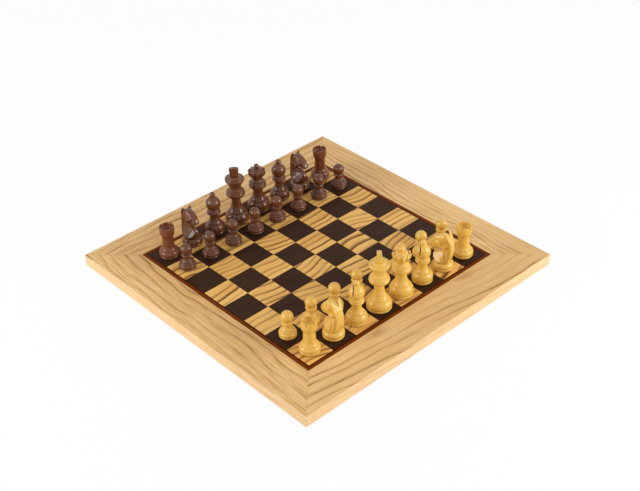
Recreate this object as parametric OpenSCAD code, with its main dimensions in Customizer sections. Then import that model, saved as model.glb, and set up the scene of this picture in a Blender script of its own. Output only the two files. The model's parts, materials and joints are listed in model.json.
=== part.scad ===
// A flat framed chessboard with its thirty-two chessmen standing on it.
// The origin is the centre of the face that the board rests on. +Z is up, +X runs from the left of the
// light player to the right, and +Y runs from the light player to the dark one. Lengths are millimetres.

/* [Board] */
// Side of one square of the field
square = 36; // [34:0.5:50]
// Width of the border strip laid round the field
border_w = 6; // [3:0.5:12]
// Width of each frame rail
rail_w = 50; // [40:1:70]
// Thickness of the frame rails
rail_t = 16; // [15:0.5:22]
// Radius of the rails' upper outer arris
rail_top_round = 0.8; // [0.3:0.1:2]
// Radius of the rails' lower outer arris
rail_low_round = 1.6; // [0.3:0.1:3]
// Thickness of the veneers that make the squares and the border
veneer_t = 0.8; // [0.6:0.1:1.5]
// Thickness of the core panel under the veneers
core_t = 12; // [10:0.5:12.5]
// Thickness of the sheet glued under the core panel
backing_t = 1; // [0.5:0.1:1.5]
// How far the backing sheet stops short of the rails
backing_gap = 0.5; // [0.2:0.1:3]

/* [Board joints] */
// Reach of the core panel's tongue into the rails
tongue_w = 6; // [4:0.5:8]
// Thickness of the tongue
tongue_t = 4; // [3:0.5:5]
// Clearance at each face of the tongue, and of a spline
joint_gap = 0.1; // [0.05:0.05:0.2]
// Extra depth of the groove past the tongue
groove_spare = 0.4; // [0.2:0.1:1]
// Length of a corner spline, along the mitre
spline_l = 30; // [20:1:32]
// Width of a corner spline, across the mitre
spline_w = 16; // [10:1:18]
// Thickness of a corner spline
spline_t = 3; // [2:0.5:5]
// Diameter of a base pad
pad_d = 20; // [12:1:30]
// Thickness of a base pad
pad_t = 1; // [0.8:0.1:3]
// Distance of a pad's centre from the two outer faces of its corner
pad_inset = 25; // [18:1:40]

/* [All chessmen] */
// Thickness of the felt under each chessman
felt_t = 0.8; // [0.5:0.1:1.2]
// How far the felt stops short of the foot's edge
felt_inset = 1; // [0.5:0.1:2]
// Thickness of the glue line over the felt
glue_t = 0.05; // [0.03:0.01:0.1]
// Height of the plinth at the bottom of a foot, from the board
plinth_h = 3.2; // [2.4:0.1:4]
// Rounding of the lower edge of a foot, and of a rook's rim
edge_round = 0.45; // [0.2:0.05:0.6]
// Depth of the line cut between plinth and bulb
line_d = 0.6; // [0.3:0.1:0.8]
// Width of the line cut between plinth and bulb
line_w = 0.25; // [0.15:0.05:0.4]
// Height of the bead on top of a foot
bead_h = 2.2; // [1.6:0.1:2.8]
// How far the bead stands inside the bulb's top
bead_set = 1.4; // [1:0.1:1.8]

/* [King] */
// Diameter of the king's foot
king_foot_d = 30; // [26:0.5:34]
// Height of the foot
king_foot_h = 15.6; // [12:0.2:20]
// Diameter of the foot's top bead
king_bead_d = 19.4; // [16:0.2:22]
// Diameter of the stem
king_stem_d = 11.6; // [9:0.2:14]
// Length of the stem, from the foot to the collar
king_stem_h = 20.6; // [14:0.2:28]
// Diameter of the collar
king_collar_d = 24; // [20:0.2:28]
// Height of the collar
king_collar_h = 11.2; // [8:0.2:14]
// Diameter of the crown
king_crown_d = 24.4; // [20:0.2:28]
// Height of the crown
king_crown_h = 17.4; // [13:0.2:22]
// Width of the finial at its top
king_finial_w = 12; // [9:0.2:15]
// Width of the finial where it stands on the crown
king_finial_foot_w = 10; // [7:0.2:11]
// Thickness of the finial
king_finial_t = 5.6; // [4:0.2:7]
// Height of the finial
king_finial_h = 11.6; // [8:0.2:16]
// Rise of the finial's rounded top
king_finial_rise = 1; // [0.4:0.1:2]
// Diameter of the finial's peg
king_peg_d = 3; // [2:0.1:4]
// Length of the finial's peg
king_peg_l = 5; // [3:0.2:8]
// Turn of the light king's finial from lying along his row
light_king_turn = 48; // [-180:1:180]
// Turn of the dark king's finial from lying along his row
dark_king_turn = -42; // [-180:1:180]

/* [Queen] */
// Diameter of the queen's foot
queen_foot_d = 28.8; // [24:0.2:32]
// Height of the foot
queen_foot_h = 16.8; // [12:0.2:20]
// Diameter of the foot's top bead
queen_bead_d = 18.8; // [16:0.2:21]
// Diameter of the stem
queen_stem_d = 12.6; // [9:0.2:14]
// Length of the stem, from the foot to the collar
queen_stem_h = 15.8; // [10:0.2:22]
// Diameter of the collar
queen_collar_d = 22.4; // [18:0.2:26]
// Height of the collar
queen_collar_h = 11.4; // [8:0.2:14]
// Diameter of the crown
queen_crown_d = 22.6; // [18:0.2:26]
// Height of the crown
queen_crown_h = 16.4; // [12:0.2:20]
// Number of flutes cut round the crown
queen_flutes = 10; // [6:1:14]
// Diameter of each flute
queen_flute_d = 3.2; // [2:0.1:4]
// Depth of each flute
queen_flute_depth = 1; // [0.4:0.1:1.4]
// Diameter of the ball on the crown
queen_ball_d = 7; // [5:0.2:9]

/* [Bishop] */
// Diameter of a bishop's foot
bishop_foot_d = 25.2; // [20:0.2:30]
// Height of the foot
bishop_foot_h = 15.2; // [12:0.2:18]
// Diameter of the foot's top bead
bishop_bead_d = 16; // [13:0.2:18]
// Diameter of the stem
bishop_stem_d = 10.8; // [8:0.2:12]
// Length of the stem, from the foot to the collar
bishop_stem_h = 11.6; // [8:0.2:18]
// Diameter of the collar
bishop_collar_d = 17.4; // [14:0.2:20]
// Height of the collar
bishop_collar_h = 6.6; // [5:0.2:9]
// Diameter of the mitre
bishop_mitre_d = 18.2; // [14:0.2:22]
// Height of the mitre
bishop_mitre_h = 17.5; // [13:0.2:22]
// Width of the slot sawn in the mitre
bishop_slot_w = 1.2; // [0.8:0.1:2]
// Distance of the slot's lower end from the axis
bishop_slot_off = 4.4; // [2:0.2:5]
// Height of the slot's lower end above the collar
bishop_slot_z = 7.4; // [5:0.2:9]
// Angle of the slot above the level
bishop_slot_angle = 96; // [60:1:100]
// Diameter of the ball on the mitre
bishop_ball_d = 7.4; // [5:0.2:9]
// Turn of the light bishops' slots from facing the other player
light_bishop_turn = 48; // [-180:1:180]
// Turn of the dark bishops' slots from facing the other player
dark_bishop_turn = 180; // [-180:1:180]

/* [Knight] */
// Diameter of a knight's foot
knight_foot_d = 25.4; // [22:0.2:30]
// Height of the foot
knight_foot_h = 10.2; // [8.6:0.2:13]
// Diameter of the foot's top, on which the carved head stands
knight_bead_d = 19; // [18.8:0.2:21]
// Height of the light knights' heads above the foot
light_head_h = 38; // [34:0.5:44]
// Height of the dark knights' heads above the foot
dark_head_h = 38; // [34:0.5:44]
// Width of a head across its foot
head_w = 18.8; // [14:0.2:18.8]
// Height of the ears above the head
ear_h = 4; // [2:0.2:6]
// Diameter of an ear at its root
ear_d = 5; // [3:0.2:6]
// Diameter of an ear's tip
ear_tip_d = 0.8; // [0.6:0.1:1.2]
// How far an ear's root lies inside the head
ear_root = 2.4; // [1.6:0.2:3]
// Distance of an ear's root from the head's middle plane
ear_out = 2.6; // [2:0.1:3]
// Diameter of the peg under a head
head_peg_d = 6; // [4:0.2:8]
// Length of the peg under a head
head_peg_l = 5; // [3:0.2:6]
// Clearance round and under a glued peg
peg_gap = 0.05; // [0.03:0.01:0.1]
// Turn of the light knight on the left of the light player
light_knight_2_turn = -10; // [-180:1:180]
// Turn of the light knight on the right
light_knight_7_turn = 22; // [-180:1:180]
// Turn of the dark knight on the left of the light player
dark_knight_2_turn = -6; // [-180:1:180]
// Turn of the dark knight on the right
dark_knight_7_turn = -2; // [-180:1:180]

/* [Rook] */
// Diameter of a rook's foot
rook_foot_d = 24.6; // [20:0.2:30]
// Height of the foot
rook_foot_h = 11.4; // [9:0.2:14]
// Diameter of the foot's top bead
rook_bead_d = 17.8; // [15:0.2:19]
// Diameter of the stem at its middle
rook_stem_d = 13.8; // [11:0.2:15]
// Length of the stem, from the foot to the cup
rook_stem_h = 17.8; // [12:0.2:24]
// Diameter of the cup
rook_cup_d = 18.2; // [16:0.2:22]
// Height of the cup
rook_cup_h = 13; // [10:0.2:16]
// Thickness of the cup's wall
rook_wall = 1.8; // [1.2:0.1:2.4]
// Depth of the hollow in the cup
rook_hollow = 4.2; // [4:0.1:6]
// Number of notches sawn in the cup's rim
rook_notches = 6; // [4:1:8]
// Width of each notch
rook_notch_w = 1.8; // [1:0.1:2.5]
// Depth of each notch
rook_notch_d = 2.6; // [1:0.1:3.5]

/* [Pawn] */
// Diameter of a pawn's foot
pawn_foot_d = 20.8; // [18:0.2:26]
// Height of the plinth at the bottom of the foot
pawn_plinth_h = 2.4; // [1.8:0.1:3]
// Height of the foot with its two beads
pawn_foot_h = 12.4; // [10:0.2:15]
// Diameter of the stem
pawn_stem_d = 8.8; // [6.5:0.2:10]
// Length of the stem, from the foot to the collar
pawn_stem_h = 5.1; // [3:0.1:8]
// Diameter of the collar
pawn_collar_d = 13.4; // [11:0.2:15]
// Height of the collar
pawn_collar_h = 3.6; // [2.8:0.1:5]
// Diameter of the ball head
pawn_head_d = 14.4; // [12:0.2:17]

/* [Hidden] */
KINDS = ["rook", "knight", "bishop", "king", "queen", "bishop", "knight", "rook"];
SIDES = ["light", "dark"];
BOARD_NODES = ["core_panel", "rail_front", "rail_right", "rail_back", "rail_left", "light_squares",
    "dark_squares", "border_front", "border_right", "border_back", "border_left", "corner_splines",
    "backing_sheet", "base_pads"];

// Smoothness of a turned surface, and steps along each arc of a profile
$fn = 72;
arc_steps = 5;
// Cuts reach this far past a face
past = 0.5;

light_wood = [0.88, 0.71, 0.38];
dark_wood = [0.33, 0.20, 0.15];
frame_wood = [0.84, 0.72, 0.52];
field_light = [0.86, 0.67, 0.40];
field_dark = [0.21, 0.14, 0.12];
border_wood = [0.45, 0.22, 0.10];
felt_green = [0.10, 0.26, 0.16];

field_w = 8 * square;
panel_w = field_w + 2 * border_w;
board_w = panel_w + 2 * rail_w;
board_top = pad_t + rail_t;
core_top = board_top - veneer_t;
core_mid = core_top - core_t / 2;
wood_z = felt_t + glue_t;
LIGHT_RANK = 1;
DARK_RANK = 8;

// ---------------------------------------------------------------- outlines

// Points after p along an arc to q. The bulge is the tangent of a quarter of the arc's angle, and a
// positive one swells to the right of the way from p to q: outwards, on a profile that runs upwards.
function arc(p, q, bulge) = bulge == 0 ? [q] :
    let (middle = (p + q) / 2, way = q - p, turn = 4 * atan(bulge),
        centre = middle + [-way.y, way.x] * (1 - bulge * bulge) / (4 * bulge), spoke = p - centre)
    [for (k = [1:arc_steps]) let (a = turn * k / arc_steps)
        centre + [spoke.x * cos(a) - spoke.y * sin(a), spoke.x * sin(a) + spoke.y * cos(a)]];

// An outline from a list of [x, y] or [x, y, bulge of the stretch that ends there].
function outline(points) = [for (k = [0:len(points) - 1]) let (p = points[k])
    each (k == 0 ? [[p.x, p.y]] :
        arc([points[k - 1].x, points[k - 1].y], [p.x, p.y], len(p) > 2 ? p[2] : 0))];

module turned(points) rotate_extrude() polygon(outline(points));

// Plinth, cut line, bulb and bead. The bead's top edge is the last point.
function foot(d, h, top_d) =
    let (r = d / 2, top = top_d / 2, bulb_top = h - bead_h, bulb_r = top + bead_set)
    [[0, wood_z], [r - edge_round, wood_z], [r - edge_round / 3, (wood_z + plinth_h) / 2, 0.25],
        [r - line_d, plinth_h, 0.25], [r - line_d, plinth_h + line_w],
        [r, plinth_h + 0.38 * (bulb_top - plinth_h), 0.18], [bulb_r, bulb_top, 0.22],
        [bulb_r - 0.5 * bead_set, bulb_top + line_w], [(bulb_r + top) / 2, bulb_top + 0.6 * bead_h, 0.3],
        [top, h, 0.35]];

// A stem that sweeps in from the foot and runs straight for its upper third.
function stem(d, z, h) = [[d / 2, z + 0.65 * h, -0.14], [d / 2, z + 0.95 * h]];

// Three rings, each smaller than the one below it.
function three_rings(d, z, h) = let (r = d / 2)
    [[0.71 * r, z], [0.95 * r, z + 0.15 * h, 0.25], [r, z + 0.36 * h, 0.3], [0.943 * r, z + 0.54 * h, 0.3],
        [0.917 * r, z + 0.565 * h], [0.892 * r, z + 0.73 * h, 0.5], [0.797 * r, z + 0.783 * h, 0.2],
        [0.754 * r, z + 0.81 * h], [0.72 * r, z + 0.946 * h, 0.5], [0.646 * r, z + h, 0.2]];

// Two rings of nearly one size.
function two_rings(d, z, h) = let (r = d / 2)
    [[0.8 * r, z], [r, z + 0.24 * h, 0.3], [0.966 * r, z + 0.485 * h, 0.3], [0.92 * r, z + 0.53 * h],
        [0.93 * r, z + 0.758 * h, 0.4], [0.862 * r, z + 0.91 * h, 0.3], [0.736 * r, z + h, 0.2]];

function one_ring(d, z, h) = let (r = d / 2)
    [[0.87 * r, z], [r, z + 0.41 * h, 0.3], [0.91 * r, z + 0.78 * h, 0.3], [0.73 * r, z + h, -0.1]];

// A ball standing on a neck of radius neck_r: its lower and upper halves, closing on the axis.
function ball_top(d, z, neck_r) = let (r = d / 2, rise = sqrt(r * r - neck_r * neck_r))
    concat([for (k = [0:6]) let (a = -asin(rise / r) + k * asin(rise / r) / 6)
        [r * cos(a), z + rise + r * sin(a)]],
        [for (k = [1:8]) [r * cos(90 * k / 8), z + rise + r * sin(90 * k / 8)]]);

// ---------------------------------------------------------------- the board

module core_panel() color(field_light) {
    translate([-panel_w / 2, -panel_w / 2, core_top - core_t]) cube([panel_w, panel_w, core_t]);
    translate([-panel_w / 2 - tongue_w, -panel_w / 2 - tongue_w, core_mid - tongue_t / 2])
        cube([panel_w + 2 * tongue_w, panel_w + 2 * tongue_w, tongue_t]);
}

// The rail along the light player's side, mitred at both ends.
module front_rail() {
    outer = board_w / 2;
    inner = panel_w / 2;
    difference() {
        intersection() {
            translate([-outer, 0, 0]) rotate([90, 0, 90]) linear_extrude(board_w) polygon(outline([
                [-outer + rail_low_round, pad_t], [-inner, pad_t], [-inner, board_top],
                [-outer + rail_top_round, board_top], [-outer, board_top - rail_top_round, 0.414],
                [-outer, pad_t + rail_low_round], [-outer + rail_low_round, pad_t, 0.414]]));
            linear_extrude(board_top + past)
                polygon([[-outer, -outer], [outer, -outer], [inner, -inner], [-inner, -inner]]);
        }
        translate([-inner - tongue_w - groove_spare, -inner - tongue_w - groove_spare,
                core_mid - tongue_t / 2 - joint_gap])
            cube([panel_w + 2 * (tongue_w + groove_spare), tongue_w + groove_spare + past,
                tongue_t + 2 * joint_gap]);
        spline(joint_gap);
        mirror([1, 0, 0]) spline(joint_gap);
    }
}

// The spline across the mitre at the corner on the light player's left, grown by a clearance.
module spline(grow) translate([-(board_w - rail_w) / 2, -(board_w - rail_w) / 2, core_mid]) rotate(45)
    cube([spline_l + 2 * grow, spline_w + 2 * grow, spline_t + 2 * grow], center = true);

module rail(quarter) color(frame_wood) rotate(90 * quarter) front_rail();

module corner_splines() color(border_wood) for (quarter = [0:3]) rotate(90 * quarter) spline(0);

// The squares of one colour. The square on the light player's left is a light one.
module squares(shade, colour) color(colour)
    for (file = [0:7], rank = [0:7]) if ((file + rank) % 2 == shade)
        translate([(file - 4) * square, (rank - 4) * square, core_top]) cube([square, square, veneer_t]);

// One mitred strip between the field and a rail.
module border(quarter) color(border_wood) rotate(90 * quarter)
    translate([0, 0, core_top]) linear_extrude(veneer_t) polygon([[-panel_w / 2, -panel_w / 2],
        [panel_w / 2, -panel_w / 2], [field_w / 2, -field_w / 2], [-field_w / 2, -field_w / 2]]);

module backing_sheet() color(felt_green)
    translate([-panel_w / 2 + backing_gap, -panel_w / 2 + backing_gap, core_top - core_t - backing_t])
        cube([panel_w - 2 * backing_gap, panel_w - 2 * backing_gap, backing_t]);

module base_pads() color(felt_green) for (quarter = [0:3]) rotate(90 * quarter)
    translate([board_w / 2 - pad_inset, board_w / 2 - pad_inset, 0]) cylinder(d = pad_d, h = pad_t);

// ---------------------------------------------------------------- the chessmen

// The middle of a square, on top of the board. A dark man faces the light player.
module on_square(file, rank, turn = 0) translate([(file - 4.5) * square, (rank - 4.5) * square, board_top])
    rotate(turn + (rank > 4 ? 180 : 0)) children();

module felt(foot_d) color(felt_green) cylinder(d = foot_d - 2 * felt_inset, h = felt_t);

module king() {
    felt(king_foot_d);
    collar_z = king_foot_h + king_stem_h;
    crown_z = collar_z + king_collar_h;
    top_z = crown_z + king_crown_h;
    r = king_crown_d / 2;
    h = king_crown_h;
    bore_r = king_peg_d / 2 + peg_gap;
    turned(concat(foot(king_foot_d, king_foot_h, king_bead_d),
        stem(king_stem_d, king_foot_h, king_stem_h), three_rings(king_collar_d, collar_z, king_collar_h),
        [[0.6 * r, crown_z + 0.15 * h, -0.15], [0.672 * r, crown_z + 0.333 * h, -0.1],
            [0.705 * r, crown_z + 0.368 * h], [0.959 * r, crown_z + 0.632 * h, -0.06],
            [r, crown_z + 0.713 * h, 0.2], [0.934 * r, crown_z + 0.805 * h, 0.3],
            [0.52 * r, crown_z + 0.955 * h, 0.1], [0.49 * r, top_z, 0.2], [bore_r, top_z],
            [bore_r, top_z - king_peg_l - peg_gap], [0, top_z - king_peg_l - peg_gap]]));
}

// A flat blade that widens upwards, with a low rounded top and a peg under it.
module king_finial(colour) color(colour) {
    top_z = king_foot_h + king_stem_h + king_collar_h + king_crown_h;
    side_z = top_z + king_finial_h - king_finial_rise;
    w = king_finial_w / 2;
    foot_w = king_finial_foot_w / 2;
    rise = king_finial_rise / w;
    translate([0, king_finial_t / 2, 0]) rotate([90, 0, 0]) linear_extrude(king_finial_t) polygon(outline([
        [-foot_w, top_z], [foot_w, top_z], [w, side_z, -0.06], [-w, side_z, rise], [-foot_w, top_z, -0.06]]));
    translate([0, 0, top_z - king_peg_l]) cylinder(d = king_peg_d, h = king_peg_l + past);
}

module queen() {
    felt(queen_foot_d);
    collar_z = queen_foot_h + queen_stem_h;
    crown_z = collar_z + queen_collar_h;
    top_z = crown_z + queen_crown_h;
    r = queen_crown_d / 2;
    h = queen_crown_h;
    difference() {
        turned(concat(foot(queen_foot_d, queen_foot_h, queen_bead_d),
            stem(queen_stem_d, queen_foot_h, queen_stem_h),
            three_rings(queen_collar_d, collar_z, queen_collar_h),
            [[0.58 * r, crown_z + 0.11 * h, -0.15], [0.64 * r, crown_z + 0.24 * h, -0.1],
                [0.96 * r, crown_z + 0.54 * h, 0.1], [r, crown_z + 0.66 * h, 0.1],
                [0.93 * r, crown_z + 0.79 * h, 0.2], [0.8 * r, crown_z + 0.85 * h, 0.2],
                [0.7 * r, crown_z + 0.82 * h], [0.64 * r, crown_z + 0.88 * h, 0.1],
                [0.3 * r, crown_z + 0.98 * h, 0.1], [0.21 * r, top_z]],
            ball_top(queen_ball_d, top_z, 0.21 * r)));
        for (k = [0:queen_flutes - 1]) rotate(360 * k / queen_flutes)
            translate([r + queen_flute_d / 2 - queen_flute_depth, 0, crown_z + 0.3 * h])
                cylinder(d = queen_flute_d, h = h, $fn = 24);
    }
}

module bishop() {
    felt(bishop_foot_d);
    collar_z = bishop_foot_h + bishop_stem_h;
    mitre_z = collar_z + bishop_collar_h;
    top_z = mitre_z + bishop_mitre_h;
    r = bishop_mitre_d / 2;
    h = bishop_mitre_h;
    difference() {
        turned(concat(foot(bishop_foot_d, bishop_foot_h, bishop_bead_d),
            stem(bishop_stem_d, bishop_foot_h, bishop_stem_h),
            two_rings(bishop_collar_d, collar_z, bishop_collar_h),
            [[0.66 * r, mitre_z + 0.046 * h, -0.2], [r, mitre_z + 0.446 * h, 0.28],
                [0.835 * r, mitre_z + 0.743 * h, 0.2], [0.385 * r, mitre_z + 0.971 * h, 0.1],
                [0.286 * r, top_z]],
            ball_top(bishop_ball_d, top_z, 0.286 * r)));
        translate([0, bishop_slot_off, mitre_z + bishop_slot_z]) rotate([bishop_slot_angle, 0, 0])
            translate([-r, 0, -bishop_slot_w / 2]) cube([2 * r, h - bishop_slot_z, bishop_slot_w]);
    }
}

module rook() {
    felt(rook_foot_d);
    cup_z = rook_foot_h + rook_stem_h;
    top_z = cup_z + rook_cup_h;
    r = rook_cup_d / 2;
    stem_r = rook_stem_d / 2;
    h = rook_cup_h;
    hollow_r = r - rook_wall;
    difference() {
        turned(concat(foot(rook_foot_d, rook_foot_h, rook_bead_d),
            [[1.06 * stem_r, rook_foot_h + 0.32 * rook_stem_h, -0.15],
                [stem_r, cup_z - 0.04 * rook_stem_h, -0.03], [1.1 * stem_r, cup_z],
                [0.956 * r, cup_z + 0.2 * h, -0.12], [r, cup_z + 0.415 * h, 0.1],
                [r, top_z - edge_round, 0.03], [r - edge_round, top_z, 0.4], [hollow_r, top_z],
                [hollow_r - edge_round, top_z - 0.8 * rook_hollow],
                [hollow_r - 0.3 * rook_hollow, top_z - rook_hollow, 0.3], [0, top_z - rook_hollow]]));
        for (k = [0:rook_notches - 1]) rotate(360 * (k + 0.5) / rook_notches)
            translate([hollow_r - 2 * past, -rook_notch_w / 2, top_z - rook_notch_d])
                cube([rook_wall + 4 * past, rook_notch_w, rook_notch_d + past]);
    }
}

module pawn() {
    felt(pawn_foot_d);
    r = pawn_foot_d / 2;
    h = pawn_foot_h;
    collar_z = h + pawn_stem_h;
    neck_z = collar_z + pawn_collar_h;
    turned(concat([[0, wood_z], [r - edge_round, wood_z],
            [r - edge_round / 3, (wood_z + pawn_plinth_h) / 2, 0.25], [r - line_d, pawn_plinth_h, 0.25],
            [r - line_d, pawn_plinth_h + line_w], [r, 0.36 * h, 0.2], [0.86 * r, 0.58 * h, 0.28],
            [0.82 * r, 0.6 * h], [0.79 * r, 0.745 * h, 0.5], [0.69 * r, 0.79 * h, 0.2],
            [0.665 * r, 0.805 * h], [0.635 * r, 0.935 * h, 0.5], [0.54 * r, h, 0.2],
            [pawn_stem_d / 2, h + 0.67 * pawn_stem_h, -0.12], [pawn_stem_d / 2, h + 0.92 * pawn_stem_h]],
        one_ring(pawn_collar_d, collar_z, pawn_collar_h),
        ball_top(pawn_head_d, neck_z, 0.31 * pawn_head_d)));
}

module knight() {
    felt(knight_foot_d);
    bore_r = head_peg_d / 2 + peg_gap;
    turned(concat(foot(knight_foot_d, knight_foot_h, knight_bead_d),
        [[bore_r, knight_foot_h], [bore_r, knight_foot_h - head_peg_l - peg_gap],
            [0, knight_foot_h - head_peg_l - peg_gap]]));
}

// A head is carved about its middle plane. Each row is one section: the point on the chest, throat and
// jaw as [forward, up], the point on the mane and nose as [forward, up], and half the thickness. Rows
// run from the foot of the neck to the lips. They draw a head of the DRAWN sizes, which is then scaled.
LIGHT_HEAD = [
    [[9.4, 0], [-9.4, 0], 9.4], [[11.2, 3.2], [-10.2, 2.8], 9.6], [[12.2, 7], [-11.2, 7], 8.8],
    [[11, 10.8], [-12, 11.8], 7.8], [[7.2, 13.6], [-12.4, 16.8], 7.2], [[4.4, 15.2], [-12.4, 21.8], 6.8],
    [[3.6, 16.8], [-11.6, 26.8], 6.4], [[4, 17.7], [-9.8, 31.4], 6.1], [[5, 18], [-6.6, 35.4], 5.9],
    [[6.4, 17.6], [-2, 37.8], 5.6], [[8.2, 16.8], [3.6, 37.4], 5.3], [[10.4, 16], [9, 34.4], 5],
    [[12.6, 15.8], [13.4, 30.2], 4.4], [[14.8, 16.8], [16.4, 26], 4], [[16, 18.6], [17.6, 22.6], 3]];
DARK_HEAD = [
    [[9.4, 0], [-9.4, 0], 9.4], [[11, 3.2], [-10.8, 2.8], 9.8], [[12, 7], [-12.2, 7], 9.2],
    [[11.4, 11.2], [-12.8, 11.8], 8.4], [[8.4, 14.8], [-13, 16.8], 7.8], [[4.8, 17.4], [-13, 21.8], 7.4],
    [[2.8, 19.8], [-12.8, 26.8], 7], [[2.6, 21.8], [-11.6, 31.8], 6.6], [[3.2, 23], [-8.8, 36.2], 6.2],
    [[4.4, 23.4], [-4.2, 38], 5.9], [[6.2, 23.2], [1.8, 37.6], 5.5], [[8.2, 22.2], [6.6, 35.6], 5.1],
    [[10.4, 21.8], [10.6, 32], 4.6], [[12.4, 22.2], [13.4, 28.6], 4.2], [[13.6, 23.6], [14.6, 26.2], 3.2]];
DRAWN_HEAD_H = 38;
DRAWN_HEAD_W = 18.8;
HEAD_SIDES = 20;
HEAD_STEPS = 2;

// The curve through b and c that leans on their neighbours a and d.
function between(a, b, c, d, t) =
    0.5 * (2 * b + (c - a) * t + (2 * a - 5 * b + 4 * c - d) * t * t + (3 * b - a - 3 * c + d) * t * t * t);

// Row number s of a head, where s may lie between two rows.
function head_row(rows, s) = let (last = len(rows) - 1, k = min(floor(s), last - 1), t = s - k,
        a = rows[max(k - 1, 0)], b = rows[k], c = rows[k + 1], d = rows[min(k + 2, last)])
    [between(a[0], b[0], c[0], d[0], t), between(a[1], b[1], c[1], d[1], t),
        between(a[2], b[2], c[2], d[2], t)];

function soft(x) = sign(x) * pow(abs(x), 0.83);

// One section as a ring of points, from the chest line round to the mane line and back.
function head_ring(row, wide, high) = let (middle = (row[0] + row[1]) / 2, reach = (row[0] - row[1]) / 2)
    [for (k = [0:HEAD_SIDES - 1]) let (a = 360 * k / HEAD_SIDES, p = middle + reach * soft(cos(a)))
        [row[2] * wide * soft(sin(a)), p.x * wide, knight_foot_h + p.y * high]];

module head_shell(rows, wide, high) {
    sections = (len(rows) - 1) * HEAD_STEPS;
    rings = [for (k = [0:sections]) head_ring(head_row(rows, k / HEAD_STEPS), wide, high)];
    points = [for (ring = rings) each ring];
    n = HEAD_SIDES;
    polyhedron(points, concat(
        [[for (k = [n - 1:-1:0]) k]],
        [for (s = [0:sections - 1], k = [0:n - 1]) let (a = s * n + k, b = s * n + (k + 1) % n)
            each [[a, b, a + n], [b, b + n, a + n]]],
        [[for (k = [0:n - 1]) sections * n + k]]));
}

// One ear: a small cone that leans out and forwards from the top of the head.
module ear(rows, wide, high) {
    poll = rows[9][1];
    translate([ear_out, poll.x * wide, knight_foot_h + poll.y * high - ear_root])
        rotate([8, 14, 0]) cylinder(d1 = ear_d, d2 = ear_tip_d, h = ear_root + ear_h);
}

module knight_head(rows, head_h, colour) color(colour) {
    wide = head_w / DRAWN_HEAD_W;
    high = head_h / DRAWN_HEAD_H;
    head_shell(rows, wide, high);
    ear(rows, wide, high);
    mirror([1, 0, 0]) ear(rows, wide, high);
    translate([0, 0, knight_foot_h - head_peg_l]) cylinder(d = head_peg_d, h = head_peg_l + past);
}

module man(kind) {
    if (kind == "king") king();
    if (kind == "queen") queen();
    if (kind == "bishop") bishop();
    if (kind == "knight") knight();
    if (kind == "rook") rook();
    if (kind == "pawn") pawn();
}

// ---------------------------------------------------------------- the nodes

core_panel();
rail(0);  // rail_front
rail(1);  // rail_right
rail(2);  // rail_back
rail(3);  // rail_left
squares(0, field_light);  // light_squares
squares(1, field_dark);  // dark_squares
border(0);  // border_front
border(1);  // border_right
border(2);  // border_back
border(3);  // border_left
corner_splines();
backing_sheet();
base_pads();

for (file = [1:8]) {
    kind = KINDS[file - 1];
    on_square(file, LIGHT_RANK, kind == "bishop" ? light_bishop_turn : 0) color(light_wood) man(kind);
    on_square(file, DARK_RANK, kind == "bishop" ? dark_bishop_turn : 0) color(dark_wood) man(kind);
    on_square(file, LIGHT_RANK + 1) color(light_wood) man("pawn");
    on_square(file, DARK_RANK - 1) color(dark_wood) man("pawn");
}

on_square(2, LIGHT_RANK, light_knight_2_turn) knight_head(LIGHT_HEAD, light_head_h, light_wood);  // light_knight_head_2
on_square(7, LIGHT_RANK, light_knight_7_turn) knight_head(LIGHT_HEAD, light_head_h, light_wood);  // light_knight_head_7
on_square(2, DARK_RANK, dark_knight_2_turn) knight_head(DARK_HEAD, dark_head_h, dark_wood);  // dark_knight_head_2
on_square(7, DARK_RANK, dark_knight_7_turn) knight_head(DARK_HEAD, dark_head_h, dark_wood);  // dark_knight_head_7
on_square(4, LIGHT_RANK, light_king_turn) king_finial(light_wood);  // light_king_finial
on_square(4, DARK_RANK, dark_king_turn) king_finial(dark_wood);  // dark_king_finial
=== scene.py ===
# %% [markdown]
# # A framed chessboard with its chessmen
#
# This notebook dresses a chessboard that stands ready for a game: a flat slab of ash rails round an inlaid
# field, and thirty-two turned men, half of them pale, half of them nearly black. The construction comes
# packed as a fixed frame, in metres, with the origin under the middle of the board, X along the light
# player's back row and Y towards the dark player. We keep every joined part of the board as it is and give
# it wood, and we turn and carve the men again as fine surfaces, in the same places.

# %% Load the frame
import json
import math

import bmesh
import bpy
import numpy as np
from mathutils import Matrix, Vector

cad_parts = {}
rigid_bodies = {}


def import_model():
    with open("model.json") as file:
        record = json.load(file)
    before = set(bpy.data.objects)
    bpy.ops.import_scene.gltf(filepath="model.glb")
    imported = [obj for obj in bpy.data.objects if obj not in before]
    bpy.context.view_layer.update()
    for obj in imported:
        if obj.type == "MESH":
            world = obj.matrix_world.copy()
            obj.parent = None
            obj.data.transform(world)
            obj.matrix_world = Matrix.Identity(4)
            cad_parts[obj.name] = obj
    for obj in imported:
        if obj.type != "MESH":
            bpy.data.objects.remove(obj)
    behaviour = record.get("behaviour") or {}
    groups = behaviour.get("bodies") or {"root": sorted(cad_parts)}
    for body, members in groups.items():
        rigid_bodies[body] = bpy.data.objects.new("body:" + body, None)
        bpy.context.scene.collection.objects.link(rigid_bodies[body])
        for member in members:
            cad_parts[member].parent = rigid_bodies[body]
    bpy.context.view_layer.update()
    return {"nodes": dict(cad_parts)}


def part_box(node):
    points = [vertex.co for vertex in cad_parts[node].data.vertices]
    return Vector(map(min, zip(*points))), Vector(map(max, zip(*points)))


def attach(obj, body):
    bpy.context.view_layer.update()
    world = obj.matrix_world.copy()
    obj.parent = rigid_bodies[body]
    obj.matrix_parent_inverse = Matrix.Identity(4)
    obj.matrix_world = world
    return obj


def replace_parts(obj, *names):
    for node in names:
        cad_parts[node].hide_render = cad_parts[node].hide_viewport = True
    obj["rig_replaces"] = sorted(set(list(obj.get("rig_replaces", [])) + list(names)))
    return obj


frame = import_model()
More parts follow.
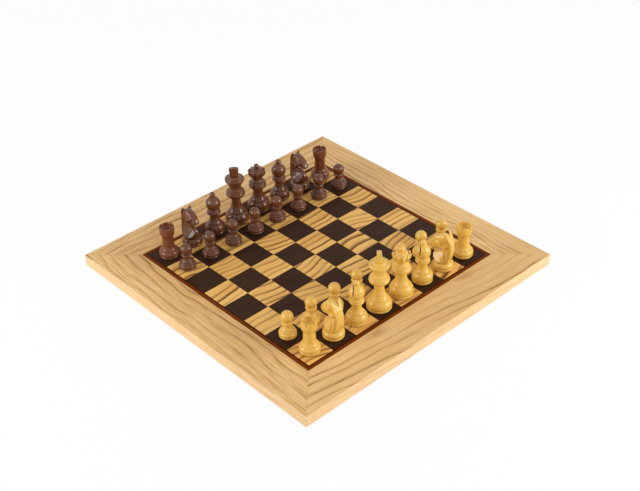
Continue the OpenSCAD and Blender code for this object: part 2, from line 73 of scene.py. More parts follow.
MM = 0.001

# %% [markdown]
# ## Where things stand
#
# The squares of a board give every place on it. We measure the field from the frame, so that one square is
# an eighth of its width, and we name each man's square by file, counted from the light player's left, and
# rank, counted from the light player.

# %% The squares
field_low, field_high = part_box("light_squares")
FIELD = field_high.x - field_low.x
SQUARE = FIELD / 8
BOARD_TOP = field_high.z
BACK_ROW = ["rook", "knight", "bishop", "king", "queen", "bishop", "knight", "rook"]


def square_middle(file, rank):
    """The middle of a square on top of the board: whole squares counted from the field's corner."""
    return np.array([(file - 4.5) * SQUARE, (rank - 4.5) * SQUARE, BOARD_TOP])


print(f"square {SQUARE / MM:.1f} mm, playing surface {BOARD_TOP / MM:.1f} mm above the table")

# %% [markdown]
# ## The camera
#
# The photograph looks down on the near left corner of the board from a little over a metre, through a long
# lens. The values below were found by fitting the corners of the field, the border and the frame. The
# picture is rolled by just over a degree, and that roll is kept.

# %% Camera
CAMERA_PLACE = np.array([-792.9, -884.7, 880.0]) * MM
CAMERA_TARGET = np.array([16.5, 9.7, 17.0]) * MM
CAMERA_ROLL = math.radians(-1.767)
CAMERA_LENS = 68.0


def looking(place, target, roll=0.0):
    """A placing matrix: the minus Z axis points from place to target, then a turn about that line."""
    turn = (Vector(target) - Vector(place)).to_track_quat("-Z", "Y").to_matrix().to_4x4()
    return Matrix.Translation(place) @ turn @ Matrix.Rotation(roll, 4, "Z")


lens = bpy.data.cameras.new("camera")
lens.sensor_width = 36
lens.lens = CAMERA_LENS
lens.clip_start = 0.05
camera = bpy.data.objects.new("camera", lens)
camera.matrix_world = looking(CAMERA_PLACE, CAMERA_TARGET, CAMERA_ROLL)
bpy.context.collection.objects.link(camera)
bpy.context.scene.camera = camera
bpy.context.scene.view_settings.view_transform = "Standard"
print("camera", [round(v, 3) for v in camera.location])

# %% [markdown]
# ## Two softboxes and a pale room
#
# Every round head in the photograph carries two small highlights at half its height, far left and far right.
# A highlight lies halfway between the eye and the lamp, so the light comes from two low softboxes, one on
# either side of the board, the right one stronger, and a soft pale room fills the rest. They are kept at a
# level at which a colour renders about as it is written.

# %% Lamps and room
LAMP_DISTANCE = 1.5
LAMP_SIZE = 0.80
LAMP_RISE = math.radians(22)
LAMP_SPREAD = math.radians(72)
LEFT_POWER, RIGHT_POWER = 12.0, 14.0
ROOM_LEVEL = 0.52
camera_bearing = math.atan2(CAMERA_PLACE[1], CAMERA_PLACE[0])


def softbox(name, spread, power, rise=LAMP_RISE, size=LAMP_SIZE, distance=LAMP_DISTANCE):
    """A square lamp at a bearing counted from the camera's, which looks at the middle of the board."""
    lamp = bpy.data.lights.new(name, "AREA")
    lamp.shape = "SQUARE"
    lamp.size = size
    lamp.energy = power
    bearing = camera_bearing + spread
    level = distance * math.cos(rise)
    place = (level * math.cos(bearing), level * math.sin(bearing), distance * math.sin(rise))
    box = bpy.data.objects.new(name, lamp)
    box.matrix_world = looking(place, (0, 0, BOARD_TOP))
    bpy.context.collection.objects.link(box)
    return box


softbox("softbox_left", -LAMP_SPREAD, LEFT_POWER)
softbox("softbox_right", LAMP_SPREAD, RIGHT_POWER)

# %% [markdown]
# Material trees are easier to read when each node is one line. The helper below makes a node, sets what it
# is given, and links what is a socket already.

# %% A short way to write node trees


def node(tree, kind, settings=None, **inputs):
    """One shader node. Inputs are numbers, colours or sockets; an input's name has _ for a space."""
    made = tree.nodes.new("ShaderNode" + kind)
    for name, value in (settings or {}).items():
        setattr(made, name, value)
    for name, value in inputs.items():
        key = int(name[1:]) if name[0] == "i" and name[1:].isdigit() else name.replace("_", " ")
        socket = made.inputs[key]
        if isinstance(value, bpy.types.NodeSocket):
            tree.links.new(value, socket)
        else:
            socket.default_value = value
    return made


def math_node(tree, operation, a, b=0.0, c=0.0):
    """The result of one sum, such as MULTIPLY or ADD, on sockets or numbers."""
    return node(tree, "Math", {"operation": operation}, i0=a, i1=b, i2=c).outputs[0]


def ramp(tree, factor, stops):
    """A colour ramp from a list of (place, colour)."""
    made = node(tree, "ValToRGB", Fac=factor)
    band = made.color_ramp
    while len(band.elements) < len(stops):
        band.elements.new(0.5)
    for element, (place, colour) in zip(band.elements, stops):
        element.position = place
        element.color = colour if len(colour) == 4 else (*colour, 1)
    return made.outputs["Color"]


def linear(red, green, blue):
    """A colour as eyes see it, 0 to 255 a channel, turned into the linear values that a shader takes."""
    part = np.array([red, green, blue]) / 255
    return tuple(float(v) for v in np.where(part <= 0.04045, part / 12.92, ((part + 0.055) / 1.055) ** 2.4))


room = bpy.data.worlds.new("room")
bpy.context.scene.world = room
room.use_nodes = True
room.node_tree.nodes.clear()
path = node(room.node_tree, "LightPath")
seen = math_node(room.node_tree, "MAXIMUM", path.outputs["Is Camera Ray"], path.outputs["Is Transmission Ray"])
seen = math_node(room.node_tree, "MAXIMUM", seen, path.outputs["Is Glossy Ray"])
fill = node(room.node_tree, "Background", Color=(1, 1, 1, 1), Strength=ROOM_LEVEL)
shown = node(room.node_tree, "Background", Color=(1, 1, 1, 1), Strength=1.0)
mixed = node(room.node_tree, "MixShader", i0=seen, i1=fill.outputs[0], i2=shown.outputs[0])
node(room.node_tree, "OutputWorld", Surface=mixed.outputs[0])
print("room and lamps ready")

# %% [markdown]
# ## The table under it
#
# A plain white sheet. To the camera most of it shines white by itself, and the rest is lit like paper, so a
# faint shadow stays under the board.

# %% Table
FLOOR_SIZE = 6.0
FLOOR_GLOW = 0.93


def floor_material():
    """Paper for the lamps, and nearly even white for the camera."""
    material = bpy.data.materials.new("white_table")
    material.use_nodes = True
    tree = material.node_tree
    tree.nodes.clear()
    rays = node(tree, "LightPath")
    paper = node(tree, "BsdfDiffuse", Color=(0.95, 0.95, 0.95, 1))
    glow = node(tree, "Emission", Color=(1, 1, 1, 1), Strength=1.0)
    seen_rays = math_node(tree, "MAXIMUM", rays.outputs["Is Camera Ray"], rays.outputs["Is Glossy Ray"])
    share = math_node(tree, "MULTIPLY", seen_rays, FLOOR_GLOW)
    both = node(tree, "MixShader", i0=share, i1=paper.outputs[0], i2=glow.outputs[0])
    node(tree, "OutputMaterial", Surface=both.outputs[0])
    return material


sheet = bpy.data.meshes.new("table")
half = FLOOR_SIZE / 2
sheet.from_pydata([(-half, -half, 0), (half, -half, 0), (half, half, 0), (-half, half, 0)], [], [(0, 1, 2, 3)])
table = bpy.data.objects.new("table", sheet)
bpy.context.collection.objects.link(table)
sheet.materials.append(floor_material())

# %% [markdown]
# ## Wood
#
# Wood shows its year rings. A tree is a stack of cones, nearly cylinders, so a cut board shows where the
# cut meets them: straight lines on an edge, long waves and arches on a face. We make the tree itself, as a
# solid texture: the distance from a heart line that lies below the board, bent by slow noise, and cut into
# rings. A ring starts with a dark line that fades to pale wood. Fibres and pores are noise stretched along
# the grain. Every face of a rail then agrees with the next one, as in a real plank.

# %% Rings and fibres


def grain_space(tree, turn, offset, scatter=None):
    """Object coordinates turned so that X runs along the grain. Scatter is a vector added at the end."""
    place = node(tree, "TexCoord").outputs["Object"]
    turned = node(tree, "Mapping", {"vector_type": "POINT"}, Vector=place, Rotation=(0, 0, turn), Location=offset)
    if scatter is None:
        return turned.outputs[0]
    return node(tree, "VectorMath", {"operation": "ADD"}, i0=turned.outputs[0], i1=scatter).outputs[0]


def stretched(tree, space, along, across, detail=2.0, roughness=0.5):
    """Noise whose grains are long along X: along and across count them in a metre."""
    scaled = node(tree, "VectorMath", {"operation": "MULTIPLY"}, i0=space, i1=(along, across, across))
    noise = node(tree, "TexNoise", {"noise_dimensions": "3D"}, Vector=scaled.outputs[0], Scale=1.0,
                 Detail=detail, Roughness=roughness)
    return noise.outputs["Fac"]


def rings(tree, space, heart, spacing, wander, sway, drift):
    """Ring number at a point: the distance from the heart line over the spacing, after two slow bends.

    heart is (across, depth, rise): where the line lies, and how it climbs along the grain."""
    bend = stretched(tree, space, 6, 7, detail=1.0)
    wave = stretched(tree, space, 15, 24, detail=1.0)
    part = node(tree, "SeparateXYZ", Vector=space).outputs
    across = math_node(tree, "SUBTRACT", part["Y"], heart[0])
    across = math_node(tree, "ADD", across, math_node(tree, "MULTIPLY", math_node(tree, "SUBTRACT", bend, 0.5), sway))
    depth = math_node(tree, "MULTIPLY_ADD", part["X"], heart[2], heart[1])
    depth = math_node(tree, "ADD", depth, part["Z"])
    reach = math_node(tree, "SQRT", math_node(tree, "ADD", math_node(tree, "MULTIPLY", across, across),
                                              math_node(tree, "MULTIPLY", depth, depth)))
    reach = math_node(tree, "ADD", reach, math_node(tree, "MULTIPLY", math_node(tree, "SUBTRACT", wave, 0.5), wander))
    uneven = node(tree, "TexNoise", {"noise_dimensions": "1D"}, W=math_node(tree, "MULTIPLY", reach, 0.35 / spacing),
                  Scale=1.0, Detail=1.0).outputs["Fac"]
    number = math_node(tree, "DIVIDE", reach, spacing)
    return math_node(tree, "ADD", number, math_node(tree, "MULTIPLY", uneven, drift))


def ring_line(tree, number, width):
    """1 on the dark line of a ring, falling to 0 across the pale wood: steep on one side, slow on the other."""
    share = math_node(tree, "FRACT", number)
    fall = math_node(tree, "SUBTRACT", 1.0, math_node(tree, "DIVIDE", share, width))
    fall = math_node(tree, "MAXIMUM", fall, 0.0)
    rise = math_node(tree, "DIVIDE", math_node(tree, "SUBTRACT", share, 1 - width * 0.35), width * 0.35)
    rise = math_node(tree, "MAXIMUM", rise, 0.0)
    return math_node(tree, "MAXIMUM", math_node(tree, "POWER", fall, 1.4), rise)


def ring_chance(tree, number, least):
    """A random strength for each ring, from the least to 1.15: no two winters are alike."""
    index = math_node(tree, "FLOOR", math_node(tree, "ADD", number, 0.2))
    chance = node(tree, "TexWhiteNoise", {"noise_dimensions": "1D"}, W=index).outputs["Value"]
    return math_node(tree, "MULTIPLY_ADD", chance, 1.15 - least, least)


def mixed_colour(tree, factor, first, second):
    """A blend of two colours, which are sockets or triples."""
    colours = [c if isinstance(c, bpy.types.NodeSocket) else (*c[:3], 1) for c in (first, second)]
    made = node(tree, "Mix", {"data_type": "RGBA", "clamp_factor": True})
    for socket, value in ((made.inputs[0], factor), (made.inputs[6], colours[0]), (made.inputs[7], colours[1])):
        if isinstance(value, bpy.types.NodeSocket):
            tree.links.new(value, socket)
        else:
            socket.default_value = value
    return made.outputs[2]


def finish(material, tree, colour, roughness, bump_height, bump_depth, gloss=0.3, coat=0.0, coat_roughness=0.1):
    """The shader over a wood colour: its own gloss, a clear coat, a roughness pattern and a little relief."""
    relief = node(tree, "Bump", Height=bump_height, Distance=bump_depth, Strength=1.0)
    shader = node(tree, "BsdfPrincipled", Base_Color=colour, Roughness=roughness, Normal=relief.outputs[0],
                  IOR=1.5, Specular_IOR_Level=gloss, Coat_Weight=coat, Coat_Roughness=coat_roughness)
    node(tree, "OutputMaterial", Surface=shader.outputs[0])
    return material


def new_material(name):
    """An empty material and its node tree."""
    material = bpy.data.materials.new(name)
    material.use_nodes = True
    material.node_tree.nodes.clear()
    return material, material.node_tree


print("wood helpers ready")

# %% [markdown]
# ### Ash for the rails
#
# The frame is pale ash with brown ring lines. Each rail is its own plank, so each gets its own heart line:
# the near rail's lines slope gently, the left one's wave, the right one's crowd towards the field. Thin dark
# glue lines mark the mitres, which lie where the distances from the board's two middle lines are equal.
# The upright faces carry painted light: a paler tone is mixed in there, as if the lamps lit them more than the top.

# %% Ash
ASH_PALE = linear(244, 204, 144)
ASH_WARM = linear(226, 180, 118)
ASH_FINE = linear(192, 144, 72)
ASH_LINE = linear(138, 88, 30)
# Painted light: the paler tone that upright faces are mixed towards, as if lit more than the top.
ASH_SIDE_PAINTED_LIGHT = linear(236, 200, 152)
ASH_SMUDGE = linear(176, 116, 56)
GLUE_LINE = linear(120, 80, 40)
GLUE_WIDTH = 0.25 * MM


def mitre_line(tree):
    """1 on the diagonals of the board, where two rails meet, and 0 a hair away."""
    part = node(tree, "SeparateXYZ", Vector=node(tree, "TexCoord").outputs["Object"]).outputs
    from_x, from_y = (math_node(tree, "ABSOLUTE", part[axis]) for axis in "XY")
    near = math_node(tree, "DIVIDE", math_node(tree, "ABSOLUTE", math_node(tree, "SUBTRACT", from_x, from_y)),
                     GLUE_WIDTH)
    return math_node(tree, "MAXIMUM", math_node(tree, "SUBTRACT", 1.0, near), 0.0)


def painted_light_sides(tree):
    """1 on an upright face and 0 on a level one: one less the upward share of the normal. It masks the painted light on
    upright faces.
    """
    up = node(tree, "SeparateXYZ", Vector=node(tree, "TexCoord").outputs["Normal"]).outputs["Z"]
    return math_node(tree, "SUBTRACT", 1.0, math_node(tree, "ABSOLUTE", up))


def faded(tree, space, calm):
    """1 where the figure is strong and less where it is calm: a straight fall between two places across."""
    across = node(tree, "SeparateXYZ", Vector=space).outputs["Y"]
    fade = node(tree, "MapRange", {"clamp": True}, Value=across, From_Min=calm[0], From_Max=calm[1],
                To_Min=1.0, To_Max=calm[2])
    return fade.outputs["Result"]


def smudge(tree, place, reach):
    """1 in the middle of a soft oval patch on the board's top and 0 from its edge outwards."""
    moved = node(tree, "VectorMath", {"operation": "SUBTRACT"}, i0=node(tree, "TexCoord").outputs["Object"],
                 i1=(*place, 0))
    shares = node(tree, "VectorMath", {"operation": "MULTIPLY"}, i0=moved.outputs[0],
                  i1=(1 / reach[0], 1 / reach[1], 0))
    length = node(tree, "VectorMath", {"operation": "LENGTH"}, i0=shares.outputs[0]).outputs["Value"]
    return math_node(tree, "MAXIMUM", math_node(tree, "SUBTRACT", 1.0, length), 0.0)


def ash(name, turn, offset, heart, spacing, sway, wander, calm=(0, 1, 1.0), threads=1.0, smudges=()):
    """Pale ash with its rings, fine lines, fibres and pores, under satin varnish; upright faces painted paler as if
    lit.
    """
    material, tree = new_material(name)
    space = grain_space(tree, turn, offset)
    number = rings(tree, space, heart, spacing, wander, sway, 0.9)
    strength = stretched(tree, space, 7, 40, detail=2.0)
    strength = math_node(tree, "MULTIPLY_ADD", strength, 2.5, -0.5)
    lively = faded(tree, space, calm)
    strength = math_node(tree, "MULTIPLY", strength, lively)
    strength = math_node(tree, "MULTIPLY", strength, ring_chance(tree, number, 0.35))
    streak = stretched(tree, space, 24, 460, detail=3.0, roughness=0.65)
    strength = math_node(tree, "MULTIPLY", strength, math_node(tree, "MULTIPLY_ADD", streak, 2.6, -0.3))
    line = math_node(tree, "MULTIPLY", ring_line(tree, number, 0.30), strength)
    shade = math_node(tree, "MULTIPLY", ring_line(tree, number, 0.85), math_node(tree, "MULTIPLY", strength, 0.62))
    thread = math_node(tree, "MULTIPLY_ADD", streak, 3.4, -1.5)
    thread = math_node(tree, "MULTIPLY", thread, math_node(tree, "MULTIPLY", lively, threads))
    shade = math_node(tree, "MAXIMUM", shade, thread)
    thin = ring_line(tree, math_node(tree, "MULTIPLY", number, 3.3), 0.6)
    thin = math_node(tree, "MULTIPLY", thin, stretched(tree, space, 14, 160, detail=2.0))
    thin = math_node(tree, "MAXIMUM", math_node(tree, "MULTIPLY", thin, 0.45), shade)
    cloud = stretched(tree, space, 5, 26, detail=3.0)
    cloud = math_node(tree, "MULTIPLY_ADD", cloud, 2.6, -0.8)
    fibre = stretched(tree, space, 30, 1100, detail=3.0, roughness=0.6)
    pore = math_node(tree, "GREATER_THAN", stretched(tree, space, 150, 2600, detail=1.0), 0.64)
    pore = math_node(tree, "MULTIPLY", pore, line)
    colour = mixed_colour(tree, cloud, ASH_PALE, ASH_WARM)
    colour = mixed_colour(tree, thin, colour, ASH_FINE)
    colour = mixed_colour(tree, line, colour, ASH_LINE)
    for spot in smudges:
        colour = mixed_colour(tree, math_node(tree, "MULTIPLY", smudge(tree, *spot), 0.6), colour, ASH_SMUDGE)
    # Painted light: upright faces are mixed towards a paler tone, as if lit more than the top, which also softens their
    # ring lines.
    colour = mixed_colour(tree, math_node(tree, "MULTIPLY", painted_light_sides(tree), 0.58), colour, ASH_SIDE_PAINTED_LIGHT)
    colour = node(tree, "VectorMath", {"operation": "SCALE"}, i0=colour,
                  Scale=math_node(tree, "MULTIPLY_ADD", fibre, 0.5, 0.75)).outputs[0]
    mitre = mitre_line(tree)
    colour = mixed_colour(tree, math_node(tree, "MULTIPLY", mitre, 0.85), colour, GLUE_LINE)
    rough = math_node(tree, "MULTIPLY_ADD", fibre, 0.16, 0.42)
    height = math_node(tree, "SUBTRACT", fibre, math_node(tree, "MULTIPLY_ADD", pore, 0.8, mitre))
    return finish(material, tree, colour, rough, height, 0.00006, gloss=0.3)


def dress(node_name, material):
    """Gives a CAD node its finish: one material for the whole piece."""
    piece = frame["nodes"][node_name]
    piece.data.materials.clear()
    piece.data.materials.append(material)


QUARTER = math.pi / 2
SMUDGE_SIZE = (0.020, 0.0075)
RAIL_LOOKS = {
    "rail_front": dict(turn=0.05, offset=(0.3, 0, 0), heart=(-0.36, 0.10, 0.10), spacing=0.0096,
                       sway=0.030, wander=0.009, calm=(-0.176, -0.160, 0.25), threads=0.45,
                       smudges=[((-0.052, -0.157), SMUDGE_SIZE), ((0.094, -0.157), SMUDGE_SIZE)]),
    "rail_right": dict(turn=QUARTER, offset=(0.9, 0, 0), heart=(0.03, 0.06, 0.02), spacing=0.0062,
                       sway=0.030, wander=0.011, calm=(0.172, 0.184, 0.35)),
    "rail_back": dict(turn=0.0, offset=(1.7, 0, 0), heart=(0.05, 0.07, 0.04), spacing=0.0082,
                      sway=0.034, wander=0.013),
    "rail_left": dict(turn=QUARTER + 0.04, offset=(2.6, 0, 0), heart=(-0.04, 0.06, 0.03), spacing=0.0080,
                      sway=0.034, wander=0.0105),
}
for rail_name, look in RAIL_LOOKS.items():
    dress(rail_name, ash("ash_" + rail_name, **look))
dress("core_panel", ash("plain_core", 0, (5, 0, 0), (0.1, 0.2, 0), 0.008, 0.02, 0.01))
print("rails:", len(RAIL_LOOKS))

# %% [markdown]
# ### Veneers for the field
#
# The light squares are cut from one striped veneer, each from another place and the grain always along the
# rows. The cell that a point lies in gives a random shift, so neighbours differ though they share one
# material. The dark squares are close-grained and almost black.

# %% Field veneers
STRIPE_PALE = linear(250, 200, 114)
STRIPE_GOLD = linear(226, 168, 84)
STRIPE_DARK = linear(124, 74, 24)
WENGE = linear(40, 22, 12)
WENGE_LIGHT = linear(68, 42, 24)
STRIPE_SPACING = 0.0104


def cell_scatter(tree, reach, tilt=0.0):
    """A random shift for each square of the board, from its whole-number place."""
    place = node(tree, "TexCoord").outputs["Object"]
    cells = node(tree, "VectorMath", {"operation": "SCALE"}, i0=place, Scale=1 / SQUARE)
    corner = node(tree, "VectorMath", {"operation": "FLOOR"}, i0=cells.outputs[0])
    part = node(tree, "SeparateXYZ", Vector=corner.outputs[0]).outputs
    flat = node(tree, "CombineXYZ", X=part["X"], Y=part["Y"], Z=3.0).outputs[0]
    chance = node(tree, "TexWhiteNoise", {"noise_dimensions": "3D"}, Vector=flat).outputs["Color"]
    return node(tree, "VectorMath", {"operation": "SCALE"}, i0=chance, Scale=reach).outputs[0]


def striped_veneer():
    """Golden veneer with wavy brown stripes."""
    material, tree = new_material("striped_veneer")
    space = grain_space(tree, 0, (0, 0, 0), cell_scatter(tree, 3.0))
    bend = stretched(tree, space, 8, 5, detail=1.0)
    wave = stretched(tree, space, 26, 14, detail=1.0)
    slide = math_node(tree, "MULTIPLY_ADD", bend, 0.085, math_node(tree, "MULTIPLY", wave, 0.010))
    across = node(tree, "SeparateXYZ", Vector=space).outputs["Y"]
    number = math_node(tree, "DIVIDE", math_node(tree, "ADD", across, slide), STRIPE_SPACING)
    uneven = node(tree, "TexNoise", {"noise_dimensions": "1D"}, W=math_node(tree, "MULTIPLY", number, 0.5),
                  Scale=1.0, Detail=1.0).outputs["Fac"]
    number = math_node(tree, "MULTIPLY_ADD", uneven, 1.0, number)
    strength = stretched(tree, space, 14, 70, detail=2.0)
    strength = math_node(tree, "MULTIPLY", math_node(tree, "MULTIPLY_ADD", strength, 2.2, 0.0),
                         ring_chance(tree, number, 0.55))
    line = math_node(tree, "MULTIPLY", ring_line(tree, number, 0.42), strength)
    fibre = stretched(tree, space, 40, 1300, detail=3.0, roughness=0.6)
    cloud = math_node(tree, "MULTIPLY_ADD", stretched(tree, space, 10, 60, detail=2.0), 2.4, -0.7)
    colour = mixed_colour(tree, cloud, STRIPE_PALE, STRIPE_GOLD)
    colour = mixed_colour(tree, line, colour, STRIPE_DARK)
    dash = math_node(tree, "MULTIPLY", math_node(tree, "LESS_THAN", fibre, 0.42), 0.16)
    colour = mixed_colour(tree, dash, colour, STRIPE_DARK)
    rough = math_node(tree, "MULTIPLY_ADD", fibre, 0.12, 0.40)
    return finish(material, tree, colour, rough, fibre, 0.00004, gloss=0.25)


def dark_veneer():
    """Nearly black veneer with a faint brown figure."""
    material, tree = new_material("dark_veneer")
    space = grain_space(tree, 0.06, (0, 0, 0), cell_scatter(tree, 3.0))
    fibre = stretched(tree, space, 26, 700, detail=3.0, roughness=0.6)
    cloud = stretched(tree, space, 30, 120, detail=2.0)
    tone = math_node(tree, "MULTIPLY", math_node(tree, "MULTIPLY", fibre, cloud), 2.0)
    colour = mixed_colour(tree, tone, WENGE, WENGE_LIGHT)
    return finish(material, tree, colour, math_node(tree, "MULTIPLY_ADD", fibre, 0.15, 0.44), fibre, 0.00004,
                  gloss=0.08)


dress("light_squares", striped_veneer())
dress("dark_squares", dark_veneer())

# %% [markdown]
# ### The border
#
# A reddish strip frames the field, darker along both its edges. The distance from the field's edge tells a
# point how far across the strip it is.

# %% Border
BORDER_RED = linear(130, 58, 0)
BORDER_EDGE = linear(56, 20, 0)
border_width = (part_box("border_front")[1].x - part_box("border_front")[0].x - FIELD) / 2


def border_veneer():
    """Reddish brown strip with dark edges and short streaks."""
    material, tree = new_material("border_veneer")
    part = node(tree, "SeparateXYZ", Vector=node(tree, "TexCoord").outputs["Object"]).outputs
    out = math_node(tree, "MAXIMUM", math_node(tree, "ABSOLUTE", part["X"]), math_node(tree, "ABSOLUTE", part["Y"]))
    share = math_node(tree, "DIVIDE", math_node(tree, "SUBTRACT", out, FIELD / 2), border_width)
    band = ramp(tree, share, [(0.0, BORDER_EDGE), (0.22, BORDER_EDGE), (0.42, BORDER_RED), (0.80, BORDER_RED),
                              (0.95, BORDER_EDGE)])
    streak = node(tree, "TexNoise", Scale=320.0, Detail=2.0).outputs["Fac"]
    colour = mixed_colour(tree, math_node(tree, "MULTIPLY", streak, 0.5), band, BORDER_EDGE)
    return finish(material, tree, colour, 0.5, streak, 0.00003, gloss=0.05)


for side in ("front", "right", "back", "left"):
    dress("border_" + side, border_veneer())
print(f"border {border_width / MM:.1f} mm wide")

# %% [markdown]
# ### Felt and baize
#
# The sheet under the board, its four pads and the disc under each man are green felt: no gloss, a fuzzy
# surface and a soft sheen at the rim.

# %% Felt
FELT_GREEN = linear(34, 74, 48)


def felt_material():
    """Matted wool: fine noise in colour and in height."""
    material, tree = new_material("green_felt")
    fluff = node(tree, "TexNoise", Vector=node(tree, "TexCoord").outputs["Object"], Scale=1800.0, Detail=3.0)
    colour = mixed_colour(tree, fluff.outputs["Fac"], FELT_GREEN, tuple(v * 0.45 for v in FELT_GREEN))
    relief = node(tree, "Bump", Height=fluff.outputs["Fac"], Distance=0.0003, Strength=1.0)
    shader = node(tree, "BsdfPrincipled", Base_Color=colour, Roughness=0.95, Normal=relief.outputs[0],
                  Sheen_Weight=0.4)
    node(tree, "OutputMaterial", Surface=shader.outputs[0])
    return material


FELT = felt_material()
for name in ("backing_sheet", "base_pads"):
    dress(name, FELT)
dress("corner_splines", border_veneer())

# %% [markdown]
# ## Turning a man
#
# A chessman is turned on a lathe, so one outline says all: radius against height. The outline is a list of
# points, each with the bulge of the arc that leads to it, which is the tangent of a quarter of the arc's
# angle. Sandpaper and lacquer round every edge, so the outline is averaged over a few tenths of a
# millimetre before it is spun. Points then crowd where the outline bends.

# %% Outlines
POLISH = 0.16
OUTLINE_STEP = 0.04


def arc(start, end, bulge, steps=24):
    """Points after start along the arc to end; a positive bulge swells outwards on the way up."""
    if bulge == 0:
        return end[None]
    way = end - start
    centre = (start + end) / 2 + np.array([-way[1], way[0]]) * (1 - bulge ** 2) / (4 * bulge)
    turn = np.linspace(0, 4 * math.atan(bulge), steps + 1)[1:, None]
    spoke = start - centre
    return centre + spoke * np.cos(turn) + np.array([-spoke[1], spoke[0]]) * np.sin(turn)


def outline(points):
    """The whole outline in millimetres from points of two or three numbers."""
    rows = [np.array(points[0][:2], float)[None]]
    for point in points[1:]:
        rows.append(arc(rows[-1][-1], np.array(point[:2], float), point[2] if len(point) > 2 else 0))
    return np.concatenate(rows)


def evenly(curve, step):
    """The curve walked in even steps, as radius and height."""
    walked = np.concatenate([[0], np.cumsum(np.hypot(*np.diff(curve, axis=0).T))])
    at = np.linspace(0, walked[-1], int(walked[-1] / step) + 1)
    return np.interp(at, walked, curve[:, 0]), np.interp(at, walked, curve[:, 1])


def polished(points, count, polish=POLISH):
    """The outline with worn edges: averaged with a bell curve, and thinned to count points by how it bends."""
    radius, height = evenly(outline(points), OUTLINE_STEP)
    pad = int(4 * polish / OUTLINE_STEP)
    bell = np.exp(-0.5 * (np.arange(-pad, pad + 1) * OUTLINE_STEP / polish) ** 2)
    bell /= bell.sum()
    wide_r = np.concatenate([-radius[pad:0:-1], radius, -radius[-2:-pad - 2:-1]])
    wide_h = np.concatenate([height[pad:0:-1], height, height[-2:-pad - 2:-1]])
    radius, height = np.convolve(wide_r, bell, "valid"), np.convolve(wide_h, bell, "valid")
    heading = np.unwrap(np.arctan2(np.gradient(height), np.gradient(radius)))
    need = 1 + 14 * np.abs(np.gradient(heading)) / OUTLINE_STEP
    spent = np.concatenate([[0], np.cumsum((need[1:] + need[:-1]) / 2)])
    at = np.interp(np.linspace(0, spent[-1], count), spent, np.arange(len(spent)))
    index = np.arange(len(radius))
    return np.maximum(np.interp(at, index, radius), 0), np.interp(at, index, height)


# %% [markdown]
# A surface is a grid of points: rows that climb, and columns that go round. One function turns such a grid
# into a closed mesh, with a point at each end that closes it.

# %% From a grid to a mesh


def grid_mesh(name, grid):
    """A closed mesh from a grid of rows by columns by XYZ, in metres. Rows climb, columns run anticlockwise."""
    rows, columns = grid.shape[:2]
    corner = np.arange(rows * columns).reshape(rows, columns)
    right = np.roll(corner, -1, axis=1)
    quads = np.stack([corner[:-1], right[:-1], right[1:], corner[1:]], -1).reshape(-1, 4)
    low, high = rows * columns, rows * columns + 1
    low_fan = np.stack([right[0], corner[0], np.full(columns, low)], -1)
    high_fan = np.stack([corner[-1], right[-1], np.full(columns, high)], -1)
    points = np.concatenate([grid.reshape(-1, 3), grid[0].mean(0)[None], grid[-1].mean(0)[None]])
    loops = np.concatenate([quads.ravel(), low_fan.ravel(), high_fan.ravel()])
    sizes = np.concatenate([np.full(len(quads), 4), np.full(2 * columns, 3)])
    mesh = bpy.data.meshes.new(name)
    mesh.vertices.add(len(points))
    mesh.vertices.foreach_set("co", points.astype(np.float32).ravel())
    mesh.loops.add(len(loops))
    mesh.loops.foreach_set("vertex_index", loops.astype(np.int32))
    mesh.polygons.add(len(sizes))
    starts = np.concatenate([[0], np.cumsum(sizes)[:-1]])
    mesh.polygons.foreach_set("loop_start", starts.astype(np.int32))
    mesh.update(calc_edges=True)
    mesh.validate()
    mesh.shade_smooth()
    return mesh


def spun(points, count, sides, cut=None):
    """A turned surface: (radius cos a, radius sin a, height). A cut may change the radius by angle."""
    radius, height = polished(points, count)
    angle = np.linspace(0, 2 * np.pi, sides, endpoint=False)[None]
    radius, height = radius[1:-1, None], height[1:-1, None]
    around = radius * np.ones_like(angle) if cut is None else cut(angle, radius, height)
    return np.stack([around * np.cos(angle), around * np.sin(angle), height * np.ones_like(angle)], -1) * MM


print("lathe ready")


# %% [markdown]
# A man is made once, standing on the origin, and then copied to his squares. The place goes into the copy's
# mesh, so that the object itself stays at the origin. Saw cuts and joints are boolean modifiers, worked out
# once on the first copy, and then every edge sharper than a turned one is marked sharp.

# %% From one man to many
SHARP = math.radians(34)
SLIVER = 0.001 * MM


def loose_piece(name, mesh):
    """An object that only serves to cut or to join."""
    piece = bpy.data.objects.new(name, mesh)
    bpy.context.collection.objects.link(piece)
    return piece


def clean(mesh):
    """Merges the doubles that a boolean leaves, and drops each pair of triangles that lie back to back."""
    merged = bmesh.new()
    merged.from_mesh(mesh)
    bmesh.ops.remove_doubles(merged, verts=merged.verts, dist=SLIVER)
    bmesh.ops.dissolve_degenerate(merged, edges=merged.edges, dist=SLIVER)
    bmesh.ops.triangulate(merged, faces=merged.faces)
    groups = {}
    for face in merged.faces:
        groups.setdefault(frozenset(corner.index for corner in face.verts), []).append(face)
    pairs = [face for group in groups.values() if len(group) > 1 for face in group]
    bmesh.ops.delete(merged, geom=pairs, context="FACES_ONLY")
    merged.to_mesh(mesh)
    merged.free()


def worked(mesh, others, operation):
    """The mesh with the others cut out of it or joined to it."""
    piece = loose_piece(mesh.name + "_work", mesh)
    helpers = [loose_piece(other.name, other) for other in others]
    for helper in helpers:
        step = piece.modifiers.new("saw", "BOOLEAN")
        step.operation = operation
        step.solver = "EXACT"
        step.object = helper
    result = bpy.data.meshes.new_from_object(piece.evaluated_get(bpy.context.evaluated_depsgraph_get()))
    for helper in [piece] + helpers:
        bpy.data.objects.remove(helper)
    clean(result)
    result.shade_smooth()
    result.set_sharp_from_angle(angle=SHARP)
    return result


